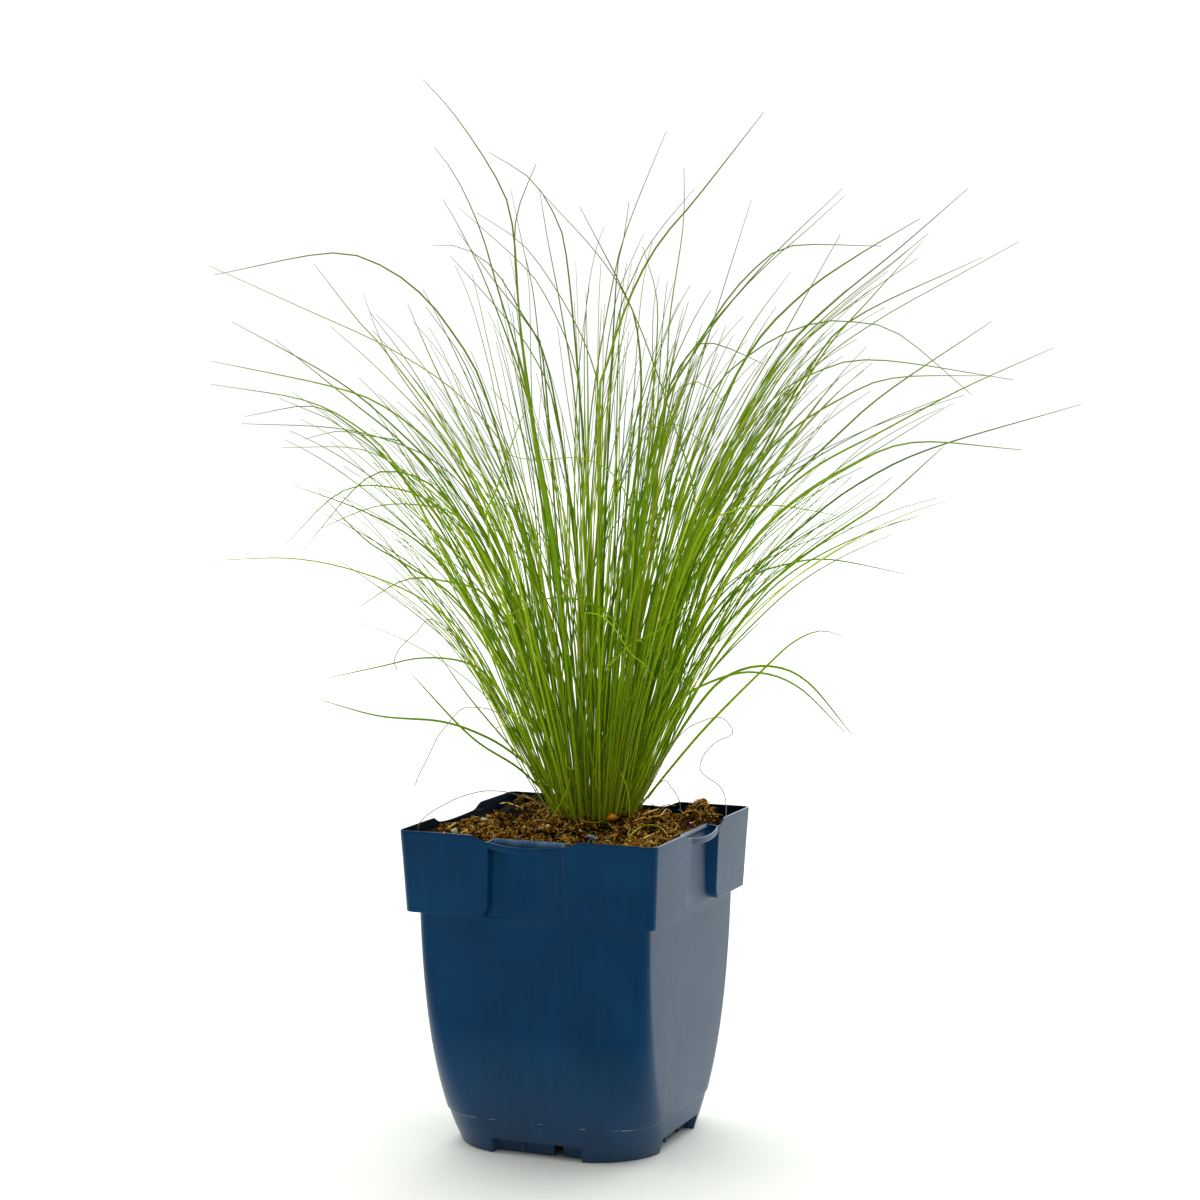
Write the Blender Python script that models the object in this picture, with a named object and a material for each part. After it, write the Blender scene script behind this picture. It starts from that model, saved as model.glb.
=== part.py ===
"""A potted feather grass: thread-fine leaves standing in a square blue plastic nursery pot.

The pot's middle is the origin, on the ground, with +Z up and the pot's sides along X and Y.
Sizes are written in millimetres and multiplied by MM, because the model itself is in metres.
"""
import math

import bmesh
import bpy
import numpy as np
from mathutils import Vector
from mathutils.bvhtree import BVHTree

MM = 0.001

# Driving sizes of the pot
POT_HEIGHT = 130 * MM
RIM_HALF = 55 * MM
WALL = 1.1 * MM
FOOT_WALL = 1.9 * MM
COLLAR_BOTTOM = 97 * MM
COLLAR_BOTTOM_HALF = 53.2 * MM
COLLAR_CORNER = 3.2 * MM
COLLAR_RISES = (0, 0.7 * MM, 2 * MM, 5 * MM)
BODY_TOP_HALF = 49.5 * MM
BODY_HEIGHTS = (22 * MM, 33 * MM, 50 * MM, 72 * MM)
BODY_TAPER = 2.3 * MM
FOOT_TAPER = 3.2 * MM
BODY_CORNER = 4 * MM
FOOT_FLARE = 26 * MM

# Label slots: each side of the collar is set back in the middle and bridged by a lip strip
SLOT_EDGE_TOP = 15.6 * MM
SLOT_EDGE_BOTTOM = 17 * MM
SLOT_PLANE_TOP = 50.7 * MM
SLOT_PLANE_BOTTOM = 50.1 * MM
SLOT_CORNER = 5 * MM
SLOT_DRAFT = 0.8 * MM
RIM_SLOPE_END = 24 * MM
RIM_DROP = 2.4 * MM
SLOT_WALL_DROP = 1.5 * MM
LIP_HALF_LENGTH = 17 * MM
LIP_STATIONS = 11
LIP_HEIGHT = 2.4 * MM
LIP_THICK = 0.9 * MM
LIP_BULGE = 1.7 * MM
LIP_SAG = 1.1 * MM
LIP_INSET = 0.2 * MM
LIP_UNDER_RIM = 0.05 * MM

# Foot: four corner feet with a set-back skirt between them, under a raised floor
SEAM_HEIGHT = 14.5 * MM
SEAM_STEP = 0.4 * MM
NOTCH_EDGE = 19.3 * MM
NOTCH_TOP = 6.2 * MM
NOTCH_ROOF = 1.4 * MM
NOTCH_DEPTH = 4 * MM
SKIRT_LIFT = 0.6 * MM
FLOOR_BOTTOM = 9 * MM
FLOOR_THICK = 1.4 * MM
DRAIN_RADIUS = 5.5 * MM
DRAIN_OFFSET = 21 * MM
DRAIN_CUT = 8 * MM
VENT_OFFSET = 8.2 * MM
VENT_WIDTHS = (5.5 * MM, 3.4 * MM)
VENT_HEIGHTS = (-1 * MM, 5.9 * MM)
VENT_CUT = (3.5 * MM, 1.2 * MM)
RIB_OFFSET = -7 * MM
RIB_HALF_WIDTH = 0.7 * MM
RIB_HEIGHTS = (1.2 * MM, 6.9 * MM)
RIB_REACH = (0.9 * MM, 1.4 * MM)

# A point this close to an edge counts as on it
EDGE_HAIR = 0.1 * MM

# A corner's arc starts this far past its side's last point, and always keeps some length
ARC_MARGIN = 1.5 * MM
ARC_SINE_LIMIT = 0.68

# Soil: its middle height and slopes, its lumps, and a heap of bits near the right-hand side
GAP = 0.35 * MM
SOIL_MIDDLE = 125.3 * MM
SOIL_SLOPES = (-0.006, 0.004)
LUMP_HEIGHT = 0.7 * MM
LUMP_LENGTHS = (9 * MM, 11 * MM)
HEAP_PLACE = (44 * MM, 25 * MM)
HEAP_HEIGHT = 6.5 * MM
HEAP_RADIUS = 6 * MM
SOIL_SIDE_HEIGHTS = (22 * MM, 50 * MM)
SOIL_NECK_RISES = (0, 1.6 * MM, 5 * MM)
SOIL_EDGE_DROP = 8 * MM
SOIL_RING_SIZES = (1, 0.86, 0.7, 0.52, 0.34, 0.16)

# The crown of leaf bases: (height above its seat, radius) in millimetres, and its leaning locks,
# given by height and by how far out the outermost one reaches there
CROWN_X = 4 * MM
CROWN_Y = 13 * MM
CROWN_SEAT = 129.3 * MM
CROWN_SEAT_RADIUS = 25 * MM
CROWN_SEAT_BLEND = 14 * MM
CROWN_SIDES = 16
CROWN_LEVELS = ((0, 20.5), (6, 21.5), (18, 23.5), (30, 24), (40, 18), (46, 9))
CROWN_FLUTE = 0.08
LOCK_COUNT = 24
LOCK_RADIUS = 2.8 * MM
LOCK_HEIGHTS = (150 * MM, 200 * MM, 282 * MM)
LOCK_REACHES = (16 * MM, 33 * MM, 72 * MM)
LOCK_TIP_FALL = 40 * MM
LOCK_TURN = math.radians(137.508)

# Leaves
LEAF_RADIUS = 1.15 * MM
LEAF_TIP_RADIUS = 0.3 * MM
LEAF_POINTS = 9
LEAF_CLEARANCE = 0.35 * MM
CROWN_BERTH = 1.4
LEAF_BERTH = 1.3
LEAF_FOOT_RISE = 3 * MM
LEAF_START_DEPTH = 10 * MM
LEAF_START_SHARE = 0.15
LEAF_DEPTH_POWER = 1.3
LEAF_SHIFT = 4
SHIFT_TRIES = 12

# The viewpoint from which the leaves' routes are read: its distance from the pot's axis, its
# height, and its heading to the right of +Y seen from above
VIEW_DISTANCE = 1118 * MM
EYE_HEIGHT = 314 * MM
AWAY = Vector((-0.3874, 0.9219, 0))
RIGHT = Vector((0.9219, 0.3874, 0))

# Each row is one leaf: how far its tip lies behind the upright plane through the pot's axis,
# then its route in that plane from base to tip as (across, height) pairs, all in millimetres
LEAF_ROUTES = (
    (-20, ((2, 131), (-8, 225), (-17, 280), (-24, 330), (-27, 370), (-33, 389), (-50, 415), (-63, 429.5))),
    (25, ((0, 131), (-8, 212), (-17, 281), (-24, 315), (-33, 345),
          (-40, 369), (-49.5, 390), (-58.5, 402.5))),
    (-85, ((1, 132), (-7, 205), (-15, 265), (-22, 304), (-38, 348), (-49, 371), (-55.5, 382))),
    (120, ((5, 131), (4, 240), (2, 280), (-2, 315), (-15, 345), (-27, 359), (-49, 378.5))),
    (45, ((6, 131), (4, 240), (1, 290), (-5, 356), (-10, 375), (-20, 390), (-36.5, 400.5))),
    (-105, ((0, 132), (-10, 235), (-19, 288), (-24, 330), (-26.3, 369), (-21, 388), (-17.5, 396))),
    (80, ((3, 132), (-7, 240), (-14, 298), (-18.5, 342), (-23, 363), (-27.8, 386))),
    (-55, ((3, 132), (-1, 230), (-12, 310), (-24.5, 337.5), (-35.5, 354.5), (-48, 362.5), (-59.5, 363.3))),
    (105, ((4, 131), (-2, 240), (-10, 297), (-20.5, 321.5), (-33.5, 338), (-52.4, 359))),
    (-35, ((-2, 131), (-11, 205), (-29, 276), (-43.5, 297), (-58, 310),
           (-81.5, 324), (-109, 336.5), (-150, 355))),
    (30, ((-1, 131), (-12, 205), (-37, 299), (-51, 327), (-65.7, 345),
          (-83.5, 356.5), (-103, 360), (-148, 351.3))),
    (-45, ((-3, 131), (-18, 190), (-34, 245), (-49, 279.5), (-79.5, 321.3), (-90, 333), (-107.5, 355.7))),
    (100, ((-3, 133), (-30, 232), (-57, 287), (-73, 311), (-81, 325.6), (-87.7, 344))),
    (-125, ((-3, 132), (-18, 200), (-33, 252), (-47.8, 290.3), (-61, 319), (-69.8, 339.8))),
    (5, ((-4, 132), (-16, 190), (-34, 237), (-53.5, 267), (-74, 288.5), (-99, 309), (-141, 332.5))),
    (80, ((-5, 133), (-22, 205), (-46, 248), (-69, 280), (-93.7, 301), (-123.7, 325.3))),
    (78, ((-5, 133), (-18, 195), (-36, 247), (-55.4, 277.4), (-77, 296.5), (-99, 305.8), (-149.7, 316.6))),
    (-20, ((-6, 133), (-26, 178), (-48, 225), (-75, 274), (-90, 289.5), (-112, 300.7), (-149.8, 307.2))),
    (-55, ((-6, 133), (-30, 195), (-55, 245), (-78, 276), (-94.6, 291.2),
           (-109.5, 298.4), (-136.3, 294.1))),
    (60, ((-5, 133), (-20, 205), (-42, 257), (-59, 275.7), (-79.6, 285), (-102, 289.7), (-137.6, 291.2))),
    (-116, ((-6, 134), (-17, 175), (-36, 230), (-50.7, 254), (-70.3, 271), (-90, 281), (-121, 281.5))),
    (-35, ((-5, 133), (-23, 197), (-42, 240), (-57.5, 263.5), (-74.4, 271.6),
           (-89.4, 267), (-114.2, 238.2))),
    (10, ((-6, 133), (-25, 198), (-44, 239), (-60, 259), (-82.8, 266), (-99.7, 262), (-120.4, 241.7))),
    (-60, ((-7, 137), (-28, 188), (-48, 223), (-66, 243), (-89.3, 256), (-118.8, 266.8))),
    (35, ((-8, 137), (-24, 177), (-49, 217.5), (-71.6, 234), (-87.4, 243.8), (-107, 264))),
    (-40, ((-8, 133), (-26, 168), (-44.6, 200.8), (-63, 218.6), (-89, 230.3),
           (-117, 236.2), (-149.7, 235.5))),
    (120, ((-5, 135), (-16, 188), (-36.5, 219.5), (-56, 227.1), (-72, 227.3), (-90.3, 216.3))),
    (-75, ((-6, 132), (-24, 166), (-42, 196), (-61.8, 211.5))),
    (-20, ((-8, 133), (-26, 168), (-38, 188), (-50, 194.3), (-66, 195.2), (-81, 192), (-104, 187))),
    (-35, ((-9, 134), (-25, 149.5), (-45, 163), (-69.8, 189.5))),
    (30, ((-10, 141), (-24.5, 153.5), (-38, 162.4), (-56.5, 169), (-82.5, 171.4), (-107, 178.2))),
    (0, ((7.5, 131), (7, 160), (4.5, 240), (4, 290), (13.7, 349.5), (20.5, 373.5), (35, 409))),
    (-80, ((8, 131), (8, 295), (12, 318), (21, 343.7), (32, 364), (47.5, 382.5), (74.2, 416.5))),
    (-80, ((12, 135), (15, 170), (27, 255), (34.5, 300), (36.6, 334), (41.9, 371), (42.2, 394.3))),
    (110, ((12, 133), (22, 200), (36, 265), (47, 308), (54, 332), (69.5, 381.5))),
    (65, ((14, 133), (22, 215), (34, 297), (46.5, 322), (61.3, 340.3), (79, 360), (106.7, 386.4))),
    (-30, ((13, 133), (20, 215), (32, 290), (45.8, 319), (60.6, 342.5),
           (74.5, 357), (87, 363.3), (122.5, 363))),
    (-95, ((17, 133), (30, 190), (50, 262), (68, 302), (81.8, 325.4), (105.6, 367.6))),
    (-110, ((10, 131), (15, 190), (22, 262), (25, 302), (23.3, 329.5), (18.2, 344), (0, 379))),
    (0, ((21, 133), (36, 175), (46, 235), (47, 260), (40.5, 284.5), (17, 345.7), (-20.3, 390))),
    (85, ((17, 133), (30, 210), (48, 283), (66, 324.6), (85.5, 352.7))),
    (10, ((16, 133), (26, 183), (41, 232), (60, 280), (80.7, 317.3),
          (102, 339.5), (129, 361.7), (157.2, 386.2))),
    (-80, ((15, 133), (30, 215), (50, 280), (69, 320), (89.5, 342.8), (111.5, 358.5), (137.8, 374))),
    (60, ((18, 133), (34, 185), (56, 240), (80, 286.7), (100, 321), (118.5, 342.4), (139, 365))),
    (85, ((18, 133), (32, 177), (56, 242), (76, 283), (97, 319), (114.7, 335.8), (163.8, 358.7))),
    (-25, ((16, 133), (32, 250), (52, 301), (72.6, 321.6), (93.7, 331.5),
           (111, 332.5), (129.8, 327.5), (159.5, 303))),
    (-60, ((18, 137), (34, 208), (56, 266), (76.5, 299), (97.7, 312.7), (121.7, 317), (176.5, 309))),
    (30, ((19, 137), (35, 203), (57, 255), (82, 285), (107, 301.7), (128, 309.8), (167, 310.7))),
    (-5, ((19, 133), (35, 183), (58, 234), (80, 262), (104.4, 286), (125.4, 304.3), (167.3, 332.6))),
    (52, ((20, 135), (40, 195), (63, 241), (91, 270), (124.5, 288.8), (157, 306), (192.8, 322))),
    (68, ((22, 137), (40, 185), (64.7, 224), (94, 252), (116, 268), (144.5, 281.5), (204.3, 299))),
    (-40, ((20, 135), (36, 178), (59, 226), (80, 253), (107.8, 272.3), (135.7, 283.5), (180.5, 280.5))),
    (-20, ((21, 135), (37, 173), (57.6, 206), (81, 228.7), (102, 244.7), (123, 259), (148.5, 282))),
    (25, ((21, 135), (28, 158), (48, 204), (67.8, 227), (85.7, 234), (103.6, 235.6), (135.2, 229.3))),
    (-40, ((22, 134), (34, 153), (47, 173.4), (60, 187.4), (76.5, 191.9), (93, 185.7), (112, 163.5))),
    (-70, ((20, 134), (26, 148), (40, 176), (57, 186.6), (73, 189.2), (90, 183), (109.2, 164.3))),
    (45, ((28, 138), (50.6, 165.3), (77, 192.2), (88, 202), (98.7, 206.4), (108.5, 204))),
)


def clear_scene():
    """Remove every object that the scene starts with."""
    for item in list(bpy.data.objects):
        bpy.data.objects.remove(item, do_unlink=True)


def new_collection(name):
    collection = bpy.data.collections.new(name)
    bpy.context.scene.collection.children.link(collection)
    return collection


def plain_material(name, colour, roughness):
    """A Principled material from a linear colour and a roughness."""
    material = bpy.data.materials.new(name)
    material.use_nodes = True
    shader = material.node_tree.nodes["Principled BSDF"]
    shader.inputs["Base Color"].default_value = (*colour, 1)
    shader.inputs["Roughness"].default_value = roughness
    shader.inputs["Metallic"].default_value = 0
    material.diffuse_color = (*colour, 1)
    return material


def mark_as_helper(item):
    """A helper shapes another piece and isn't a piece itself."""
    item.hide_render = True
    item.display_type = "WIRE"


def loft(name, rings, collection, closed=False):
    """A solid through rings of equally many points, capped at both ends unless it closes on itself."""
    shape = bmesh.new()
    rows = [[shape.verts.new(point) for point in ring] for ring in rings]
    pairs = list(zip(rows, rows[1:]))
    if closed:
        pairs.append((rows[-1], rows[0]))
    else:
        shape.faces.new(rows[0][::-1])
        shape.faces.new(rows[-1])
    count = len(rows[0])
    for lower, upper in pairs:
        for k in range(count):
            after = (k + 1) % count
            shape.faces.new((lower[k], lower[after], upper[after], upper[k]))
    bmesh.ops.remove_doubles(shape, verts=shape.verts, dist=0.001 * MM)
    bmesh.ops.dissolve_limit(shape, angle_limit=math.radians(0.4), verts=shape.verts, edges=shape.edges)
    bmesh.ops.recalc_face_normals(shape, faces=shape.faces)
    mesh = bpy.data.meshes.new(name)
    shape.to_mesh(mesh)
    shape.free()
    item = bpy.data.objects.new(name, mesh)
    collection.objects.link(item)
    return item


def smooth_shading(item, degrees=35):
    item.data.shade_smooth()
    item.data.set_sharp_from_angle(angle=math.radians(degrees))


def combine(target, operation, helpers):
    """Join a collection of helpers to the target, or cut it by them."""
    modifier = target.modifiers.new(operation.lower(), "BOOLEAN")
    modifier.operation = operation
    modifier.solver = "EXACT"
    modifier.operand_type = "COLLECTION"
    modifier.collection = helpers
    modifier.use_self = True


def turned(x, y, quarter):
    """A point turned about the pot's axis by whole quarters."""
    for _ in range(quarter):
        x, y = -y, x
    return x, y


def outline(half, corner, edge, depth, steps=5, shares=(1, 0.7, 0.35, 0)):
    """One level of the pot: a square with round corners, each side set back in its middle.

    Gives (x, y, along) for each point, where along is its distance from its side's middle.
    Where a wide corner's arc would start before the side's last point, it starts just past it.
    """
    reach = RIM_SLOPE_END
    outer = [edge + (reach - edge) * share for share in shares]
    side = [(-along, 0) for along in outer]
    side += [(along, depth) for along in (SLOT_DRAFT - edge, 0, edge - SLOT_DRAFT)]
    side += [(along, 0) for along in reversed(outer)]
    centre = half - corner
    first = math.asin(min(max((reach + ARC_MARGIN - centre) / corner, 0), ARC_SINE_LIMIT))
    arc = [first + (math.pi / 2 - 2 * first) * k / steps for k in range(steps + 1)]
    points = []
    for quarter in range(4):
        for along, set_back in side:
            past = max(0, abs(along) - centre)
            x = centre + math.sqrt(corner ** 2 - past ** 2) - set_back
            points.append((*turned(x, along, quarter), abs(along)))
        for angle in arc:
            x = centre + corner * math.cos(angle)
            y = centre + corner * math.sin(angle)
            points.append((*turned(x, y, quarter), half))
    return points


def level(points, height):
    """The outline's points at one height, which may depend on the distance from the side's middle."""
    if callable(height):
        return [Vector((x, y, height(along))) for x, y, along in points]
    return [Vector((x, y, height)) for x, y, along in points]


def body_half(height):
    """Half the body's width: nearly straight, drawn in towards the foot."""
    down = (COLLAR_BOTTOM - height) / COLLAR_BOTTOM
    step = SEAM_STEP if height < SEAM_HEIGHT else 0
    return BODY_TOP_HALF - BODY_TAPER * down - FOOT_TAPER * down ** 5 - step


def body_corner(height):
    """The body's corner radius: tight at the collar, flaring to a wide cone at the foot."""
    down = (COLLAR_BOTTOM - height) / COLLAR_BOTTOM
    return BODY_CORNER + FOOT_FLARE * down ** 2.2


def collar_level(height, inset, steps=5, shares=(1, 0.7, 0.35, 0)):
    """The collar's outline at one height, offset inwards by inset."""
    base = COLLAR_BOTTOM + inset
    up = (height - base) / (POT_HEIGHT - base)
    half = COLLAR_BOTTOM_HALF + (RIM_HALF - COLLAR_BOTTOM_HALF) * up
    plane = SLOT_PLANE_BOTTOM + (SLOT_PLANE_TOP - SLOT_PLANE_BOTTOM) * up
    edge = SLOT_EDGE_BOTTOM + (SLOT_EDGE_TOP - SLOT_EDGE_BOTTOM) * up
    below = max(0, SLOT_CORNER - (height - base))
    rounding = SLOT_CORNER - math.sqrt(SLOT_CORNER ** 2 - below ** 2)
    return outline(half - inset, COLLAR_CORNER - inset, edge + rounding + inset, half - plane, steps, shares)


def rim_height(along):
    """The rim is level at the corners and dips towards the label slot."""
    if along >= RIM_SLOPE_END:
        return POT_HEIGHT
    if along < SLOT_EDGE_TOP - EDGE_HAIR:
        return POT_HEIGHT - SLOT_WALL_DROP
    share = (RIM_SLOPE_END - along) / (RIM_SLOPE_END - SLOT_EDGE_TOP)
    return POT_HEIGHT - RIM_DROP * (0.5 - 0.5 * math.cos(math.pi * min(share, 1)))


def inner_rim_height(along):
    """The same rim on the wall's inner side, where the set-back starts one wall further out."""
    return rim_height(max(along - WALL, 0)) if along < RIM_SLOPE_END - WALL else POT_HEIGHT


def skirt_height(along):
    """The corner feet stand on the ground, and the skirt between them hangs just clear of it."""
    return 0 if along >= NOTCH_EDGE - EDGE_HAIR else SKIRT_LIFT


def inner_skirt_height(along):
    return 0 if along >= NOTCH_EDGE + FOOT_WALL - EDGE_HAIR else SKIRT_LIFT


def body_level(height, inset, edge=NOTCH_EDGE, depth=0):
    return outline(body_half(height) - inset, body_corner(height) - inset, edge, depth)


def pot_rings():
    """The pot's wall as one band: up the outside, over the rim and down the inside."""
    seam_low = SEAM_HEIGHT - SEAM_STEP
    rings = [level(body_level(0, 0, depth=NOTCH_DEPTH), skirt_height)]
    rings.append(level(body_level(NOTCH_TOP, 0, depth=NOTCH_DEPTH), NOTCH_TOP))
    rings.append(level(body_level(NOTCH_TOP, 0), NOTCH_TOP))
    rings.append(level(body_level(seam_low, 0), seam_low))
    rings.append(level(body_level(SEAM_HEIGHT, 0), SEAM_HEIGHT))
    rings += [level(body_level(height, 0), height) for height in BODY_HEIGHTS]
    slot_foot = SLOT_EDGE_BOTTOM + SLOT_CORNER
    rings.append(level(body_level(COLLAR_BOTTOM, 0, edge=slot_foot), COLLAR_BOTTOM))
    rings += [level(collar_level(COLLAR_BOTTOM + up, 0), COLLAR_BOTTOM + up) for up in COLLAR_RISES]
    rings.append(level(collar_level(POT_HEIGHT, 0), rim_height))
    rings.append(level(collar_level(POT_HEIGHT, WALL), inner_rim_height))
    ledge = COLLAR_BOTTOM + WALL
    rings += [level(collar_level(ledge + up, WALL), ledge + up) for up in reversed(COLLAR_RISES)]
    rings.append(level(body_level(COLLAR_BOTTOM, WALL, edge=slot_foot + WALL), ledge))
    rings += [level(body_level(height, WALL), height) for height in reversed(BODY_HEIGHTS)]
    rings.append(level(body_level(SEAM_HEIGHT, FOOT_WALL), SEAM_HEIGHT))
    inner_edge = NOTCH_EDGE + FOOT_WALL
    top = NOTCH_TOP + NOTCH_ROOF
    rings.append(level(body_level(top, FOOT_WALL, edge=inner_edge), top))
    rings.append(level(body_level(top, FOOT_WALL, edge=inner_edge, depth=NOTCH_DEPTH), top))
    rings.append(level(body_level(0, FOOT_WALL, edge=inner_edge, depth=NOTCH_DEPTH), inner_skirt_height))
    return rings


def lip_section(along):
    """The lip strip's four corners at one place along the side, with its bow and its sag."""
    middle = max(0, 1 - (along / SLOT_EDGE_TOP) ** 2)
    outer = RIM_HALF - LIP_INSET + LIP_BULGE * middle
    top = POT_HEIGHT - RIM_DROP - LIP_UNDER_RIM - LIP_SAG * middle
    inner = outer - LIP_THICK
    low = top - LIP_HEIGHT
    return [(x, along, z) for x, z in ((outer, top), (outer, low), (inner, low), (inner, top))]


def add_box(name, low, high, top_half, collection, quarter):
    """An upright block on one side of the pot, whose top may be narrower than its foot."""
    rings = []
    for z, half in ((low[2], (high[1] - low[1]) / 2), (high[2], top_half)):
        left = (low[1] + high[1]) / 2 - half
        right = left + 2 * half
        plan = ((low[0], left), (high[0], left), (high[0], right), (low[0], right))
        rings.append([Vector((*turned(x, y, quarter), z)) for x, y in plan])
    mark_as_helper(loft(name, rings, collection))


def add_pot_additions(collection):
    """The floor, the lip strips and the small ribs, which the pot's wall is moulded with."""
    faces = (FLOOR_BOTTOM, FLOOR_BOTTOM + FLOOR_THICK)
    floor = loft("floor", [level(body_level(z, FOOT_WALL / 2), z) for z in faces], collection)
    mark_as_helper(floor)
    places = np.linspace(-LIP_HALF_LENGTH, LIP_HALF_LENGTH, LIP_STATIONS)
    skirt = body_half(0) - NOTCH_DEPTH
    low = (skirt - RIB_REACH[0], RIB_OFFSET - RIB_HALF_WIDTH, RIB_HEIGHTS[0])
    high = (skirt + RIB_REACH[1], RIB_OFFSET + RIB_HALF_WIDTH, RIB_HEIGHTS[1])
    for quarter in range(4):
        rings = [[Vector((*turned(x, y, quarter), z)) for x, y, z in lip_section(along)] for along in places]
        mark_as_helper(loft(f"lip_{quarter}", rings, collection))
        add_box(f"rib_{quarter}", low, high, RIB_HALF_WIDTH, collection, quarter)


def add_pot_cutters(collection):
    """The drain holes in the floor and the vents in the skirt."""
    wide, narrow = VENT_WIDTHS
    skirt = body_half(0) - NOTCH_DEPTH
    low = (skirt - VENT_CUT[0], VENT_OFFSET - wide / 2, VENT_HEIGHTS[0])
    high = (skirt + VENT_CUT[1], VENT_OFFSET + wide / 2, VENT_HEIGHTS[1])
    for quarter in range(4):
        add_box(f"vent_{quarter}", low, high, narrow / 2, collection, quarter)
        bpy.ops.mesh.primitive_cylinder_add(vertices=16, radius=DRAIN_RADIUS, depth=DRAIN_CUT)
        drain = bpy.context.object
        drain.name = f"drain_{quarter}"
        x, y = turned(DRAIN_OFFSET, DRAIN_OFFSET, quarter)
        drain.location = (x, y, FLOOR_BOTTOM + FLOOR_THICK / 2)
        for owner in list(drain.users_collection):
            owner.objects.unlink(drain)
        collection.objects.link(drain)
        mark_as_helper(drain)


def make_pot(pieces):
    """The moulded pot: wall, floor, lip strips and ribs in one, cut by its holes."""
    additions = new_collection("pot_additions")
    cutters = new_collection("pot_cutters")
    pot = loft("pot", pot_rings(), pieces, closed=True)
    add_pot_additions(additions)
    add_pot_cutters(cutters)
    combine(pot, "UNION", additions)
    combine(pot, "DIFFERENCE", cutters)
    smooth_shading(pot)
    pot.data.materials.append(plain_material("blue_plastic", (0.009, 0.038, 0.094), 0.42))
    return pot


def soil_height(x, y):
    """The soil slopes a little, is lumpy, and rises to a level seat under the crown."""
    slope = SOIL_MIDDLE + SOIL_SLOPES[0] * x + SOIL_SLOPES[1] * y
    lumps = LUMP_HEIGHT * math.sin(x / LUMP_LENGTHS[0]) * math.cos(y / LUMP_LENGTHS[1])
    from_heap = math.hypot(x - HEAP_PLACE[0], y - HEAP_PLACE[1]) / HEAP_RADIUS
    heap = HEAP_HEIGHT * math.exp(-from_heap ** 2 / 2)
    ground = slope + lumps + heap
    away = math.hypot(x - CROWN_X, y - CROWN_Y)
    share = min(max((away - CROWN_SEAT_RADIUS) / CROWN_SEAT_BLEND, 0), 1)
    blend = share * share * (3 - 2 * share)
    return CROWN_SEAT + (ground - CROWN_SEAT) * blend


def make_soil(pieces):
    """The soil fills the pot from its floor to just under the rim."""
    inset = WALL + GAP
    few = {"steps": 2, "shares": (1, 0)}
    floor_top = FLOOR_BOTTOM + FLOOR_THICK + GAP
    foot = body_half(floor_top) - FOOT_WALL - GAP
    rings = [level(outline(foot, body_corner(floor_top) - FOOT_WALL - GAP, NOTCH_EDGE, 0, **few), floor_top)]
    for height in SOIL_SIDE_HEIGHTS:
        plan = outline(body_half(height) - inset, body_corner(height) - inset, NOTCH_EDGE, 0, **few)
        rings.append(level(plan, height))
    ledge = COLLAR_BOTTOM + WALL + GAP
    slot_foot = SLOT_EDGE_BOTTOM + SLOT_CORNER + WALL
    neck = outline(BODY_TOP_HALF - inset, BODY_CORNER - inset, slot_foot, 0, **few)
    rings.append(level(neck, ledge))
    rings += [level(collar_level(ledge + up, inset, **few), ledge + up) for up in SOIL_NECK_RISES]
    edge = collar_level(POT_HEIGHT - SOIL_EDGE_DROP, inset, **few)
    for size in SOIL_RING_SIZES:
        ring = []
        for x, y, along in edge:
            across = CROWN_X + (x - CROWN_X) * size
            back = CROWN_Y + (y - CROWN_Y) * size
            ring.append(Vector((across, back, soil_height(across, back))))
        rings.append(ring)
    soil = loft("soil", rings, pieces)
    smooth_shading(soil)
    soil.data.materials.append(plain_material("peat_soil", (0.036, 0.017, 0.007), 0.95))
    return soil


def smooth_route(points, count):
    """Evenly spaced points on a smooth curve through the given ones."""
    ends = [points[0] * 2 - points[1], *points, points[-1] * 2 - points[-2]]
    fine = []
    for before, start, end, after in zip(ends, ends[1:], ends[2:], ends[3:]):
        for share in np.linspace(0, 1, 12, endpoint=False):
            t = float(share)
            bend = 2 * start + (end - before) * t
            bend += (2 * before - 5 * start + 4 * end - after) * t ** 2
            bend += (3 * start - before - 3 * end + after) * t ** 3
            fine.append(bend * 0.5)
    fine = np.array([tuple(point) for point in [*fine, points[-1]]])
    travelled = np.concatenate([[0], np.cumsum(np.linalg.norm(np.diff(fine, axis=0), axis=1))])
    wanted = np.linspace(0, travelled[-1], count)
    columns = [np.interp(wanted, travelled, fine[:, axis]) for axis in range(3)]
    return [Vector(point) for point in zip(*columns)]


def tube(name, points, radii, collection):
    """A tapering four-sided tube through the points, closed at both ends."""
    curve = bpy.data.curves.new(name, "CURVE")
    curve.dimensions = "3D"
    curve.bevel_depth = 1
    curve.bevel_resolution = 0
    curve.use_fill_caps = True
    spline = curve.splines.new("POLY")
    spline.points.add(len(points) - 1)
    for place, point, radius in zip(spline.points, points, radii):
        place.co = (*point, 1)
        place.radius = radius
    item = bpy.data.objects.new(name, curve)
    collection.objects.link(item)
    return item


def tube_as_mesh(item, collection):
    """The tube as a welded mesh, so that it can be joined to another piece."""
    evaluated = item.evaluated_get(bpy.context.evaluated_depsgraph_get())
    mesh = bpy.data.meshes.new_from_object(evaluated)
    shape = bmesh.new()
    shape.from_mesh(mesh)
    bmesh.ops.remove_doubles(shape, verts=shape.verts, dist=0.01 * MM)
    shape.to_mesh(mesh)
    shape.free()
    welded = bpy.data.objects.new(item.name, mesh)
    welded.matrix_world = item.matrix_world
    curve = item.data
    bpy.data.objects.remove(item)
    bpy.data.curves.remove(curve)
    collection.objects.link(welded)
    mark_as_helper(welded)


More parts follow.
